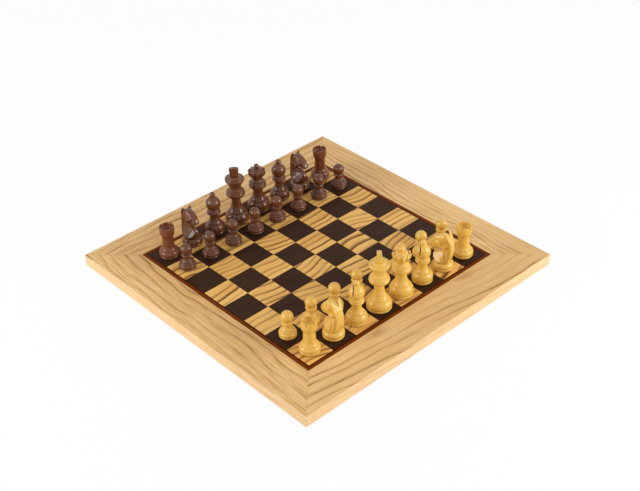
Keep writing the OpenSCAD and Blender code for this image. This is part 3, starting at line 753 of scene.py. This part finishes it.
def block(name, size, place):
    """A box of the given size round the place, by a matrix in millimetres, as a tool to cut with."""
    corners = np.array([(x, y, z) for z in (-1, 1) for y in (-1, 1) for x in (-1, 1)]) * np.array(size) / 2
    faces = [(0, 2, 3, 1), (4, 5, 7, 6), (0, 1, 5, 4), (2, 6, 7, 3), (0, 4, 6, 2), (1, 3, 7, 5)]
    mesh = bpy.data.meshes.new(name)
    mesh.from_pydata([Matrix(place) @ Vector(corner) for corner in corners], [], faces)
    mesh.transform(Matrix.Scale(MM, 4))
    return mesh


def stand(name, master, material, body, node_name, file, rank, turn=0.0):
    """A copy of the master on its square. A dark man faces the light player."""
    mesh = master.copy()
    mesh.name = name
    facing = math.radians(turn) + (math.pi if rank > 4 else 0)
    mesh.transform(Matrix.Translation(square_middle(file, rank)) @ Matrix.Rotation(facing, 4, "Z"))
    mesh.materials.clear()
    mesh.materials.append(material)
    piece = bpy.data.objects.new(name, mesh)
    bpy.context.collection.objects.link(piece)
    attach(piece, body)
    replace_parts(piece, node_name)
    return piece


print("bench ready")

# %% [markdown]
# ## The shapes that the men share
#
# All sizes below are in millimetres, from the top of the board. Each man has a foot with a plinth, a cut line,
# a bulb and a bead. A stem sweeps up from it to a collar of rings, and the head tells the rank.

# %% Feet, stems and collars
WOOD_BOTTOM = 0.85
PLINTH = 3.2
EDGE = 0.45
LINE_DEPTH = 0.6
LINE_WIDTH = 0.25
BEAD = 2.2
BEAD_SET = 1.4


def foot(width, height, bead_width):
    """Plinth, cut line, bulb and bead, from the axis outwards and then up."""
    r, top = width / 2, bead_width / 2
    bulb_top, bulb_r = height - BEAD, bead_width / 2 + BEAD_SET
    return [(0, WOOD_BOTTOM), (r - EDGE, WOOD_BOTTOM), (r - EDGE / 3, (WOOD_BOTTOM + PLINTH) / 2, 0.25),
            (r - LINE_DEPTH, PLINTH, 0.25), (r - LINE_DEPTH, PLINTH + LINE_WIDTH),
            (r, PLINTH + 0.38 * (bulb_top - PLINTH), 0.18), (bulb_r, bulb_top, 0.22),
            (bulb_r - 0.5 * BEAD_SET, bulb_top + LINE_WIDTH),
            ((bulb_r + top) / 2, bulb_top + 0.6 * BEAD, 0.3), (top, height, 0.35)]


def stem(width, z, length):
    """A sweep in from the foot, then straight for the upper third."""
    return [(width / 2, z + 0.65 * length, -0.14), (width / 2, z + 0.95 * length)]


def scaled(rows, r, z, h):
    """Rows given as shares of a radius and a height, and a bulge, turned into points above z."""
    return [(share_r * r, z + share_h * h, *bulge) for share_r, share_h, *bulge in rows]


THREE_RINGS = [(0.71, 0), (0.95, 0.15, 0.25), (1, 0.36, 0.3), (0.943, 0.54, 0.3), (0.917, 0.565),
               (0.892, 0.73, 0.5), (0.797, 0.783, 0.2), (0.754, 0.81), (0.72, 0.946, 0.5), (0.646, 1, 0.2)]
TWO_RINGS = [(0.8, 0), (1, 0.24, 0.3), (0.966, 0.485, 0.3), (0.92, 0.53), (0.93, 0.758, 0.4),
             (0.862, 0.91, 0.3), (0.736, 1, 0.2)]
ONE_RING = [(0.87, 0), (1, 0.41, 0.3), (0.91, 0.78, 0.3), (0.73, 1, -0.1)]


def ball(width, z, neck):
    """A ball that stands on a neck of the given radius, from the neck up to the axis."""
    r = width / 2
    rise = math.sqrt(r * r - neck * neck)
    angle = np.linspace(-math.asin(rise / r), math.pi / 2, 15)
    return [(r * math.cos(a), z + rise + r * math.sin(a)) for a in angle]


print("rings:", len(THREE_RINGS), len(TWO_RINGS), len(ONE_RING))

# %% [markdown]
# ### King, queen, bishop, rook and pawn
#
# Each outline joins the shared shapes to a head of its own. The king's crown is open at the top, where his
# finial stands. The queen's crown has flutes round it: a round cutter takes a bite wherever it passes, so
# the radius at each angle is the smaller of the crown's and the cutter's.

# %% Outlines of the turned men
CROWN = [(0.62, 0.15, -0.15), (0.672, 0.333, -0.1), (0.72, 0.35), (0.959, 0.632, -0.06), (1, 0.72, 0.15),
         (0.975, 0.83, 0.15), (0.89, 0.88, 0.3), (0.7, 0.87), (0.5, 0.985, 0.2), (0.42, 1, 0.1), (0, 1)]
CORONET = [(0.58, 0.11, -0.15), (0.64, 0.24, -0.1), (0.96, 0.54, 0.1), (1, 0.68, 0.1), (0.96, 0.8, 0.2),
           (0.87, 0.84, 0.3), (0.77, 0.74), (0.71, 0.79, 0.1), (0.52, 0.92, 0.12), (0.3, 0.99, 0.08), (0.21, 1)]
MITRE = [(0.66, 0.046, -0.2), (1, 0.446, 0.28), (0.835, 0.743, 0.2), (0.385, 0.971, 0.1), (0.286, 1)]
KING_FOOT, KING_STEM, KING_COLLAR, KING_CROWN = (30, 15.6, 19.4), (11.6, 20.6), (24, 11.2), (24.4, 17.4)
QUEEN_FOOT, QUEEN_STEM, QUEEN_COLLAR, QUEEN_CROWN = (28.8, 16.8, 18.8), (12.6, 15.8), (22.4, 11.4), (22.6, 16.4)
QUEEN_BALL = 7
BISHOP_FOOT, BISHOP_STEM, BISHOP_COLLAR, BISHOP_MITRE = (25.2, 15.2, 16), (10.8, 11.6), (17.4, 6.6), (18.2, 17.5)
BISHOP_BALL = 7.4
ROOK_FOOT, ROOK_STEM, ROOK_CUP = (24.6, 11.4, 17.8), (13.8, 17.8), (18.2, 13)
ROOK_WALL, ROOK_HOLLOW = 1.5, 5.2
PAWN_FOOT, PAWN_STEM, PAWN_COLLAR, PAWN_HEAD = (20.8, 12.4), (8.8, 5.1), (13.4, 3.6), 14.4
PAWN_PLINTH = 2.4


def tall_man(foot_size, stem_size, rings_of, collar, head_of, head):
    """Foot, stem, collar and head, each on top of the one before. Also the height of the head's foot and top."""
    stem_z = foot_size[1]
    collar_z = stem_z + stem_size[1]
    head_z = collar_z + collar[1]
    points = foot(*foot_size) + stem(stem_size[0], stem_z, stem_size[1])
    points += scaled(rings_of, collar[0] / 2, collar_z, collar[1]) + scaled(head_of, head[0] / 2, head_z, head[1])
    return points, head_z, head_z + head[1]


def king_outline():
    """The king without his finial."""
    return tall_man(KING_FOOT, KING_STEM, THREE_RINGS, KING_COLLAR, CROWN, KING_CROWN)


def queen_outline():
    """The queen, with the ball on her crown."""
    points, low, top = tall_man(QUEEN_FOOT, QUEEN_STEM, THREE_RINGS, QUEEN_COLLAR, CORONET, QUEEN_CROWN)
    return points + ball(QUEEN_BALL, top, CORONET[-1][0] * QUEEN_CROWN[0] / 2), low, top


def bishop_outline():
    """The bishop, with the ball on his mitre."""
    points, low, top = tall_man(BISHOP_FOOT, BISHOP_STEM, TWO_RINGS, BISHOP_COLLAR, MITRE, BISHOP_MITRE)
    return points + ball(BISHOP_BALL, top, MITRE[-1][0] * BISHOP_MITRE[0] / 2), low, top


def rook_outline():
    """The rook: a waisted tower with a hollow cup on top."""
    cup_z = ROOK_FOOT[1] + ROOK_STEM[1]
    stem_r, r, h = ROOK_STEM[0] / 2, ROOK_CUP[0] / 2, ROOK_CUP[1]
    top = cup_z + h
    inner = r - ROOK_WALL
    return foot(*ROOK_FOOT) + [
        (1.06 * stem_r, ROOK_FOOT[1] + 0.32 * ROOK_STEM[1], -0.15), (stem_r, cup_z - 0.04 * ROOK_STEM[1], -0.03),
        (1.1 * stem_r, cup_z), (0.956 * r, cup_z + 0.2 * h, -0.12), (r, cup_z + 0.415 * h, 0.1),
        (r, top - EDGE, 0.03), (r - EDGE, top, 0.4), (inner, top), (inner - EDGE, top - 0.8 * ROOK_HOLLOW),
        (inner - 0.3 * ROOK_HOLLOW, top - ROOK_HOLLOW, 0.3), (0, top - ROOK_HOLLOW)], cup_z, top


def pawn_outline():
    """The pawn: a low foot with two beads, one collar and a ball."""
    r, h = PAWN_FOOT[0] / 2, PAWN_FOOT[1]
    stem_r = PAWN_STEM[0] / 2
    collar_z = h + PAWN_STEM[1]
    neck_z = collar_z + PAWN_COLLAR[1]
    low = [(0, WOOD_BOTTOM), (r - EDGE, WOOD_BOTTOM), (r - EDGE / 3, (WOOD_BOTTOM + PAWN_PLINTH) / 2, 0.25),
           (r - LINE_DEPTH, PAWN_PLINTH, 0.25), (r - LINE_DEPTH, PAWN_PLINTH + LINE_WIDTH), (r, 0.36 * h, 0.2),
           (0.86 * r, 0.58 * h, 0.28), (0.82 * r, 0.6 * h), (0.79 * r, 0.745 * h, 0.5), (0.69 * r, 0.79 * h, 0.2),
           (0.665 * r, 0.805 * h), (0.635 * r, 0.935 * h, 0.5), (0.54 * r, h, 0.2),
           (stem_r, h + 0.67 * PAWN_STEM[1], -0.12), (stem_r, h + 0.92 * PAWN_STEM[1])]
    collar = scaled(ONE_RING, PAWN_COLLAR[0] / 2, collar_z, PAWN_COLLAR[1])
    return low + collar + ball(PAWN_HEAD, neck_z, 0.31 * PAWN_HEAD), neck_z, neck_z + PAWN_HEAD


KNIGHT_FOOT, KNIGHT_SEAT = (25.4, 10.2), 9.6


def knight_foot_outline():
    """The turned foot on which a knight's carved head stands: a plinth, a cut line and one bulb."""
    r, h = KNIGHT_FOOT[0] / 2, KNIGHT_FOOT[1]
    return [(0, WOOD_BOTTOM), (r - EDGE, WOOD_BOTTOM), (r - EDGE / 3, (WOOD_BOTTOM + PLINTH) / 2, 0.25),
            (r - LINE_DEPTH, PLINTH, 0.25), (r - LINE_DEPTH, PLINTH + LINE_WIDTH), (r, 0.56 * h, 0.2),
            (KNIGHT_SEAT + 0.6, h - 0.5, 0.26), (KNIGHT_SEAT, h, 0.2), (0, h)], h, h


# %% Flutes, slot and notches
FLUTES = 10
FLUTE_SHARE = 0.66
FLUTE_DEPTH = 1.7
FLUTE_START, FLUTE_FULL = 0.14, 0.45
SLOT_WIDTH, SLOT_OFF, SLOT_RISE, SLOT_ANGLE = 1.2, 4.4, 7.4, 96
NOTCHES, NOTCH_WIDTH, NOTCH_DEPTH = 6, 1.8, 2.6


def queen_flutes(low):
    """A function of angle, radius and height: each flute is half an oval, cut inwards from the crown's own outline.
    It starts at nothing near the crown's foot and is at its full depth below the rim."""
    start, full = (low + share * QUEEN_CROWN[1] for share in (FLUTE_START, FLUTE_FULL))
    rim = CORONET[4][0] * QUEEN_CROWN[0] / 2 - FLUTE_DEPTH
    pitch = 2 * np.pi / FLUTES

    def cut(angle, radius, height):
        off = np.abs((angle + pitch / 2) % pitch - pitch / 2) / (FLUTE_SHARE * pitch / 2)
        grown = np.clip((height - start) / (full - start), 0, 1)
        groove = FLUTE_DEPTH * grown * np.sqrt(np.maximum(1 - off ** 2, 0))
        return np.where((height > start) & (radius > rim * grown), radius - groove, radius)

    return cut


def bishop_slot(low):
    """The saw that cuts the mitre, nearly upright and off the axis."""
    place = Matrix.Translation((0, SLOT_OFF, low + SLOT_RISE)) @ Matrix.Rotation(math.radians(SLOT_ANGLE), 4, "X")
    reach = BISHOP_MITRE[1] - SLOT_RISE
    return [block("slot", (BISHOP_MITRE[0], reach, SLOT_WIDTH), place @ Matrix.Translation((0, reach / 2, 0)))]


def rook_notches(top):
    """The saw cuts across the rim, each from just inside the cup to just outside it."""
    inner = ROOK_CUP[0] / 2 - ROOK_WALL - 1
    saws = []
    for k in range(NOTCHES):
        turned_by = Matrix.Rotation(2 * math.pi * (k + 0.5) / NOTCHES, 4, "Z")
        middle = Matrix.Translation((inner + ROOK_WALL, 0, top - NOTCH_DEPTH / 2 + 0.5))
        saws.append(block(f"notch_{k}", (2 * ROOK_WALL + 2, NOTCH_WIDTH, NOTCH_DEPTH + 1), turned_by @ middle))
    return saws


# %% Turn the masters


def turned_mesh(name, points, count, sides, cut=None):
    """A closed turned mesh, standing on the origin."""
    return grid_mesh(name, spun(points, count, sides, cut))


MASTERS = {}
for kind, maker, count, sides in (("king", king_outline, 230, 96), ("queen", queen_outline, 230, 160),
                                  ("bishop", bishop_outline, 190, 84), ("rook", rook_outline, 190, 108),
                                  ("pawn", pawn_outline, 160, 60), ("knight", knight_foot_outline, 120, 84)):
    points, low, top = maker()
    mesh = turned_mesh(kind, points, count, sides, queen_flutes(low) if kind == "queen" else None)
    if kind == "bishop":
        mesh = worked(mesh, bishop_slot(low), "DIFFERENCE")
    if kind == "rook":
        mesh = worked(mesh, rook_notches(top), "DIFFERENCE")
    MASTERS[kind] = mesh
    print(kind, "is", round(max(v.co.z for v in mesh.vertices) / MM, 2), "mm tall in", len(mesh.polygons), "faces")

# %% [markdown]
# ### The king's finial
#
# The blade on the king's crown is sawn from flat wood: wider at its top, with eased edges. Each level is a
# rounded oblong, which a superellipse draws: the cosine and the sine of the angle raised to a small power.

# %% Finial
FINIAL_WIDTH, FINIAL_FOOT, FINIAL_THICKNESS, FINIAL_HEIGHT, FINIAL_RISE = 12, 10, 5.6, 11.6, 1.0
FINIAL_EDGE = 0.5


def power(value, exponent):
    """The value raised to the exponent with its sign kept."""
    return np.sign(value) * np.abs(value) ** exponent


def finial_mesh(foot_z):
    """Levels of rounded oblongs: half width and half thickness shrink over the edge at the top."""
    share = np.concatenate([np.linspace(0, 1, 40), np.ones(12)])[:, None]
    over = np.concatenate([np.zeros(40), np.linspace(0, 1, 13)[1:]])[:, None] * np.pi / 2
    ease = FINIAL_EDGE * (1 - np.cos(over))
    half_w = (FINIAL_FOOT + (FINIAL_WIDTH - FINIAL_FOOT) * share ** 1.4) / 2 - ease
    half_t = FINIAL_THICKNESS / 2 - ease
    angle = np.linspace(0, 2 * np.pi, 96, endpoint=False)
    x = half_w * power(np.cos(angle), 0.22)
    y = half_t * power(np.sin(angle), 0.3)
    crown = FINIAL_RISE * (1 - (x / (FINIAL_WIDTH / 2)) ** 2) * share ** 3
    z = foot_z + (FINIAL_HEIGHT - FINIAL_RISE - FINIAL_EDGE) * share + FINIAL_EDGE * np.sin(over) + crown
    return grid_mesh("finial", np.stack([x, y, z * np.ones_like(x)], -1) * MM)


MASTERS["finial"] = finial_mesh(king_outline()[2])
print("finial", len(MASTERS["finial"].polygons), "faces")

# %% [markdown]
# ## Carving a knight
#
# The head is the one part that no lathe makes. A carver saws its outline from a plank and rounds it: we do the
# same with a list of sections. Each has a point on the chest, throat and jaw, a point on the mane and nose,
# and half the thickness, and a smooth curve runs through all of them. Round a section the outline is a
# superellipse, blunt at the mane, which gives the flat band down the back of the neck.
#
# Then come the cuts. A gouge hollows a leaf into each flank and leaves a crisp edge on the band behind it. In
# front of the leaf a flat facet runs down the side of the chest, wider towards the foot. Above the neck the
# section turns into a plain oval. Jaw, eye, nostril and mouth are small swellings and dents, each a bell curve
# of the distance from its place. The band forks at its top into the two ears.

# %% Sections of the heads
LIGHT_HEAD = [
    ((9.4, 0), (-9.4, 0), 9.4), ((11.2, 3.2), (-10.2, 2.8), 9.6), ((12.2, 7), (-11.2, 7), 8.8),
    ((11, 10.8), (-12, 11.8), 7.8), ((6.8, 13.8), (-12.4, 16.8), 7.2), ((0.6, 15.6), (-12.4, 21.8), 6.8),
    ((-0.6, 17.3), (-11.6, 26.8), 6.4), ((1.6, 18.1), (-9.8, 31.4), 6.1), ((5, 18), (-6.6, 35.4), 5.9),
    ((6.4, 17.6), (-2, 37.8), 5.6), ((8.2, 16.8), (3.6, 37.4), 5.3), ((10.4, 16), (9, 34.4), 5),
    ((12.6, 15.8), (13.4, 30.2), 4.4), ((14.8, 16.8), (16.4, 26), 4), ((16, 18.6), (17.6, 22.6), 3)]
DARK_HEAD = [
    ((9.4, 0), (-9.4, 0), 9.4), ((11, 3.2), (-10.8, 2.8), 9.8), ((12, 7), (-12.2, 7), 9.2),
    ((11.4, 11.2), (-12.8, 11.8), 8.4), ((8.2, 15), (-13, 16.8), 7.8), ((2.4, 17.6), (-13, 21.8), 7.4),
    ((0.2, 20), (-12.8, 26.8), 7), ((0.8, 22), (-11.6, 31.8), 6.6), ((3.2, 23), (-8.8, 36.2), 6.2),
    ((4.4, 23.4), (-4.2, 38), 5.9), ((6.2, 23.2), (1.8, 37.6), 5.5), ((8.2, 22.2), (6.6, 35.6), 5.1),
    ((10.4, 21.8), (10.6, 32), 4.6), ((12.4, 22.2), (13.4, 28.6), 4.2), ((13.6, 23.6), (14.6, 26.2), 3.2)]
HEAD_ROWS, HALF_COLUMNS = 170, 76
BAND_EDGE, LEAF_EDGE = 22 / HALF_COLUMNS, 44 / HALF_COLUMNS
BAND_WIDTH, BAND_DEPTH = 0.90, 3.2
FACET_TURN, FACET_TILT, FACET_LEAST = math.radians(12), math.radians(34), 0.26
HEAD_CUTS = {"light_head": dict(reach=9.1, front=0.28, leaf=0.28, ear_rise=4.4),
             "dark_head": dict(reach=9.9, front=0.70, leaf=0.12, ear_rise=2.5)}


def head_lines(rows, at):
    """Chest point, mane point and half thickness at each place along the head, on the curve through the rows:
    between rows b and c it leans on their neighbours a and d, as Catmull and Rom's cubic does."""
    table = np.array([(*chest, *mane, half) for chest, mane, half in rows])
    last = len(rows) - 1
    k = np.clip(at.astype(int), 0, last - 1)
    t = (at - k)[..., None]
    a, b, c, d = (table[np.clip(k + step, 0, last)] for step in (-1, 0, 1, 2))
    return 0.5 * (2 * b + (c - a) * t + (2 * a - 5 * b + 4 * c - d) * t ** 2 + (3 * b - a - 3 * c + d) * t ** 3)


def bell(distance, width):
    """1 at no distance, falling smoothly to nothing."""
    return np.exp(-(distance / width) ** 2)


def ease_in(value, start, end):
    """0 before start, 1 after end, and a smooth rise between."""
    t = np.clip((value - start) / (end - start), 0, 1)
    return t * t * (3 - 2 * t)


def from_line(y, z, start, end):
    """Distance in the side view from the line between two places."""
    way = end - start
    t = np.clip(((y - start[0]) * way[0] + (z - start[1]) * way[1]) / (way @ way), 0, 1)
    return np.hypot(y - start[0] - t * way[0], z - start[1] - t * way[1])


def softer_least(first, second, blend):
    """The smaller of two values, with the corner where they meet rounded off."""
    return (first + second - np.sqrt((first - second) ** 2 + blend ** 2)) / 2


def carved_section(share, rise, span, flat):
    """How far across and how wide a point lies, from its share of the way round (0 mane, 1 chest), its row and
    the row's length in the side view: half a boxy oval for the band, a hollow for the leaf, and for the chest
    an oval that the flat planes off."""
    back = np.maximum(0.05 + 0.26 * np.maximum(1 - rise / 2.6, 0) ** 2, BAND_DEPTH / span)
    start = flat["front"]
    front = np.maximum(start + (0.86 - start) * np.clip(rise / 5, 0, 1) ** 2.2, back + 0.03)
    edges = (0, BAND_EDGE, LEAF_EDGE, 1)
    band, leaf, chest = (np.clip((share - a) / (b - a), 0, 1) for a, b in zip(edges, edges[1:]))
    boxy = 1 - 0.35 * ease_in(rise, 0.2, 2)
    across = (back * (1 - np.cos(band * QUARTER) ** boxy) + (front - back) * leaf
              + (1 - front) * np.sin(chest * QUARTER))
    blunt = 2 + 0.5 * ease_in(rise, 0, 2)

    def planed(place):
        """The oval's half width at a place across, cut down to the flat."""
        oval = np.maximum(1 - np.abs(2 * place - 1) ** blunt, 0) ** (1 / blunt)
        return softer_least(oval, flat["limit"](place), 0.03)

    hollow = flat["leaf"] * ease_in(rise, 0, 2.2) * (1 - ease_in(rise, 7.4, 9.4))
    edge = planed(front)
    strokes = (BAND_WIDTH * np.sin(band * QUARTER) ** boxy,
               BAND_WIDTH + (edge - BAND_WIDTH) * leaf - hollow * np.abs(np.sin(leaf * np.pi)) ** 0.8)
    wide = np.select([share < BAND_EDGE, share < LEAF_EDGE], strokes, np.maximum(planed(across), 0))
    return across, wide


def oval_section(share):
    """The same for the head: a superellipse, a little boxier than an oval."""
    return (1 - power(np.cos(share * np.pi), 0.83)) / 2, np.abs(np.sin(share * np.pi)) ** 0.83


def knight_head(rows, foot_z, reach, front, leaf):
    """The carved head as a grid, in millimetres: rows from the neck's foot to the lips, columns round each.
    The flat on each side of the chest is a plane, which leans in upwards and a little forwards."""
    at = np.linspace(0, len(rows) - 1, HEAD_ROWS)
    line = head_lines(rows, at)
    chest, mane, half = line[:, None, 0:2], line[:, None, 2:4], line[:, 4:5]
    walk = np.arange(-HALF_COLUMNS, HALF_COLUMNS)[None] / HALF_COLUMNS
    rise = at[:, None]
    neck = 1 - ease_in(rise, 8.2, 10.2)
    outwards = math.cos(FACET_TILT) * math.cos(FACET_TURN)
    forwards, upwards = math.cos(FACET_TILT) * math.sin(FACET_TURN), math.sin(FACET_TILT)
    free = 3 * ease_in(rise, 5.4, 7.4)

    def limit(place):
        """The flat's half width at a place across, as a share of the row's."""
        y, z = np.moveaxis(mane + (chest - mane) * place[..., None], -1, 0)
        return np.maximum((reach - forwards * y - upwards * z) / outwards / half, FACET_LEAST) + free

    flat = dict(front=front, leaf=leaf, limit=limit)
    span = np.hypot(*np.moveaxis(chest - mane, -1, 0))
    across, wide = (neck * cut + (1 - neck) * plain for cut, plain in
                    zip(carved_section(np.abs(walk), rise, span, flat), oval_section(np.abs(walk))))
    drawn_in = 1 - 0.13 * (1 - ease_in(rise, 0, 0.4))
    across = 0.5 + (across - 0.5) * drawn_in
    side = half * wide * drawn_in * np.sign(walk)
    y, z = np.moveaxis(mane + (chest - mane) * across[..., None], -1, 0)

    def landmark(row, share):
        """A place in the side view: row along the head, and the share of the way from mane to chest."""
        mark = head_lines(rows, np.array([row]))[0]
        return mark[2:4] + (mark[0:2] - mark[2:4]) * share

    def near(spot, stretch_y=1.0, stretch_z=1.0):
        """Distance from a spot in the side view, over a stretch each way."""
        return np.hypot((y - spot[0]) / stretch_y, (z - spot[1]) / stretch_z)

    eye, cheek, nostril = landmark(10.55, 0.27), landmark(9.7, 0.66), landmark(13.35, 0.36)
    lips, corner = landmark(14.2, 0.66), landmark(12.3, 0.74)
    relief = 0.75 * (1 - ease_in(near(cheek), 3.6, 5.2)) * ease_in(rise, 6.5, 8.5)
    relief += 0.55 * bell(near(eye + [0.2, 1.4], 2.4, 1.0), 1.0)
    relief -= 1.0 * bell(near(eye), 1.7)
    relief += 1.15 * bell(near(eye, 1.15, 0.9), 0.85)
    relief += 0.5 * bell(near(nostril), 1.9) - 1.3 * bell(near(nostril, 1.0, 0.75), 0.75)
    relief -= 0.95 * bell(from_line(y, z, corner, lips), 0.42)
    relief -= 0.55 * bell(near(landmark(11.9, 0.5), 1.5, 2.6), 1.0)
    side = side + np.sign(side) * relief * np.clip(np.abs(side) / half, 0, 1) ** 0.7
    return np.stack([side, y, foot_z + z], -1)


EAR_ROOT_ROW, EAR_TIP_ROW = 6.6, 8.5
EAR_ROOT_OUT, EAR_TIP_OUT, EAR_SUNK = 2.5, 5.6, 1.3
EAR_HALF_WIDTH, EAR_HALF_DEPTH, EAR_TIP = 3.4, 2.3, 0.4


def ear_mesh(rows, foot_z, side, rise):
    """A blade that carries on the band: its middle line runs from the mane outwards to the tip, its back is
    flat, its front is round with a small hollow, and both its half width and its half depth run out."""
    root, tip = (head_lines(rows, np.array([row]))[0][2:4] for row in (EAR_ROOT_ROW, EAR_TIP_ROW))
    root, tip = root + np.array([EAR_SUNK, -EAR_SUNK / 2]), tip + np.array([0, rise])
    way = (tip - root) / np.hypot(*(tip - root))
    behind = np.array([-way[1], way[0]])
    share = np.linspace(0, 1, 40)[:, None]
    angle = np.linspace(0, 2 * np.pi, 48, endpoint=False)[None]
    half_width = EAR_HALF_WIDTH * (1 - share ** 2.4) * (1 - 0.25 * share) + EAR_TIP
    half_depth = EAR_HALF_DEPTH * (1 - share) ** 0.8 + EAR_TIP
    deep = np.where(np.sin(angle) > 0, 0.45 * power(np.sin(angle), 0.4), np.sin(angle))
    deep = deep + 0.55 * bell(angle - 3 * QUARTER, 0.5) * np.sin(np.pi * share)
    x = side * (EAR_ROOT_OUT + (EAR_TIP_OUT - EAR_ROOT_OUT) * share) + half_width * np.cos(angle)
    y = root[0] + (tip[0] - root[0]) * share + half_depth * deep * behind[0]
    z = root[1] + (tip[1] - root[1]) * share + half_depth * deep * behind[1]
    return grid_mesh("ear", np.stack([-x, y, foot_z + z], -1) * MM)


for name, rows in (("light_head", LIGHT_HEAD), ("dark_head", DARK_HEAD)):
    cuts = HEAD_CUTS[name]
    head = grid_mesh(name, knight_head(rows, KNIGHT_FOOT[1], cuts["reach"], cuts["front"], cuts["leaf"]) * MM)
    ears = [ear_mesh(rows, KNIGHT_FOOT[1], side, cuts["ear_rise"]) for side in (-1, 1)]
    MASTERS[name] = worked(head, ears, "UNION")
    print(name, len(MASTERS[name].polygons), "faces")

# %% [markdown]
# ### Felt under the feet
#
# A disc of felt is glued under each man, a little smaller than his foot. Its cut edge bulges.

# %% Felt discs
FELT_THICKNESS = 0.8
FELT_INSET = 1.0


def felt_mesh(name, foot_width):
    """A thin turned disc with a rounded edge."""
    r, t = foot_width / 2 - FELT_INSET, FELT_THICKNESS
    return turned_mesh(name, [(0, 0), (r - 0.2, 0), (r - 0.2, t, 0.8), (0, t)], 26, 64)


FOOT_WIDTHS = {"king": KING_FOOT[0], "queen": QUEEN_FOOT[0], "bishop": BISHOP_FOOT[0], "rook": ROOK_FOOT[0],
               "knight": KNIGHT_FOOT[0], "pawn": PAWN_FOOT[0]}
for kind, width in FOOT_WIDTHS.items():
    MASTERS[kind + "_felt"] = felt_mesh(kind + "_felt", width)
print("felt discs for", list(FOOT_WIDTHS))

# %% [markdown]
# ### Lacquered wood for the men
#
# The light men are boxwood, honey coloured, and the dark ones are stained reddish brown, the rooks reddest.
# The grain of a turned blank runs up its axis, so its rings show as upright streaks. Clear lacquer lies over
# all of it as a coat, which gives the small bright reflections of the softboxes.

# %% Lacquered wood


def lacquered(name, pale, deep, streak, contrast, lacquer=0.75):
    """Upright streaks and fibres in wood, under a clear coat."""
    material, tree = new_material(name)
    place = node(tree, "TexCoord").outputs["Object"]
    upright = node(tree, "Mapping", {"vector_type": "POINT"}, Vector=place, Rotation=(0, QUARTER, 0)).outputs[0]
    cloud = stretched(tree, upright, 14, 55, detail=2.0)
    number = rings(tree, upright, (0.02, 0.11, 0.02), 0.0021, 0.0012, 0.01, 1.5)
    line = math_node(tree, "MULTIPLY", ring_line(tree, number, 0.6), contrast)
    fibre = stretched(tree, upright, 60, 1500, detail=3.0, roughness=0.6)
    colour = mixed_colour(tree, cloud, pale, deep)
    colour = mixed_colour(tree, line, colour, streak)
    colour = mixed_colour(tree, math_node(tree, "MULTIPLY", fibre, contrast), colour, deep)
    rough = math_node(tree, "MULTIPLY_ADD", fibre, 0.1, 0.33)
    return finish(material, tree, colour, rough, fibre, 0.00002, gloss=0.05, coat=lacquer, coat_roughness=0.13)


BOXWOOD = lacquered("boxwood", linear(242, 200, 100), linear(222, 172, 66), linear(188, 132, 40), 0.30)
STAINED = lacquered("stained_wood", linear(136, 80, 42), linear(90, 50, 26), linear(44, 23, 12), 0.6)
STAINED_RED = lacquered("stained_rook_wood", linear(160, 92, 54), linear(112, 60, 34), linear(58, 28, 14), 0.6)
print("lacquers:", BOXWOOD.name, STAINED.name, STAINED_RED.name)

# %% [markdown]
# ## Set up the game
#
# Sixteen men a side: the back row from a list, and the pawns in front of it. Each one rides on his own body
# and stands for his own node of the frame. Kings, bishops and knights are turned a little, as they stand in
# the photograph.

# %% Set up
TURNS = {"light_bishop": 48, "dark_bishop": 180, "light_finial": 48, "dark_finial": -42}
KNIGHT_TURNS = {"light_2": -3, "light_7": 21, "dark_2": -6, "dark_7": -2}


def set_up(side, kind, file, rank):
    """One man with his felt, and his head or finial where he has one."""
    body = f"{side}_{kind}_{file}"
    wood = BOXWOOD if side == "light" else STAINED_RED if kind == "rook" else STAINED
    turn = TURNS.get(f"{side}_{kind}", 0)
    stand(body + "_turned", MASTERS[kind], wood, body, body, file, rank, turn)
    stand(body + "_felt", MASTERS[kind + "_felt"], FELT, body, body, file, rank)
    if kind == "knight":
        stand(body + "_carved", MASTERS[side + "_head"], wood, body, f"{side}_knight_head_{file}", file, rank,
              KNIGHT_TURNS[f"{side}_{file}"])
    if kind == "king":
        stand(body + "_blade", MASTERS["finial"], wood, body, f"{side}_king_finial", file, rank,
              TURNS[side + "_finial"])


for side, back_rank, pawn_rank in (("light", 1, 2), ("dark", 8, 7)):
    for file, kind in enumerate(BACK_ROW, start=1):
        set_up(side, kind, file, back_rank)
        set_up(side, "pawn", file, pawn_rank)
pieces = [piece for piece in bpy.data.objects if piece.name.startswith(("light_", "dark_")) and "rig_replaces" in piece]
print(len(pieces), "pieces stand on the board")

# %% [markdown]
# ## Box sizes
#
# A box can be written down as plain lists of metres.

# %% Sizes and the end


def plain(box):
    """A box as plain lists of metres."""
    return [[float(v) for v in corner] for corner in box]
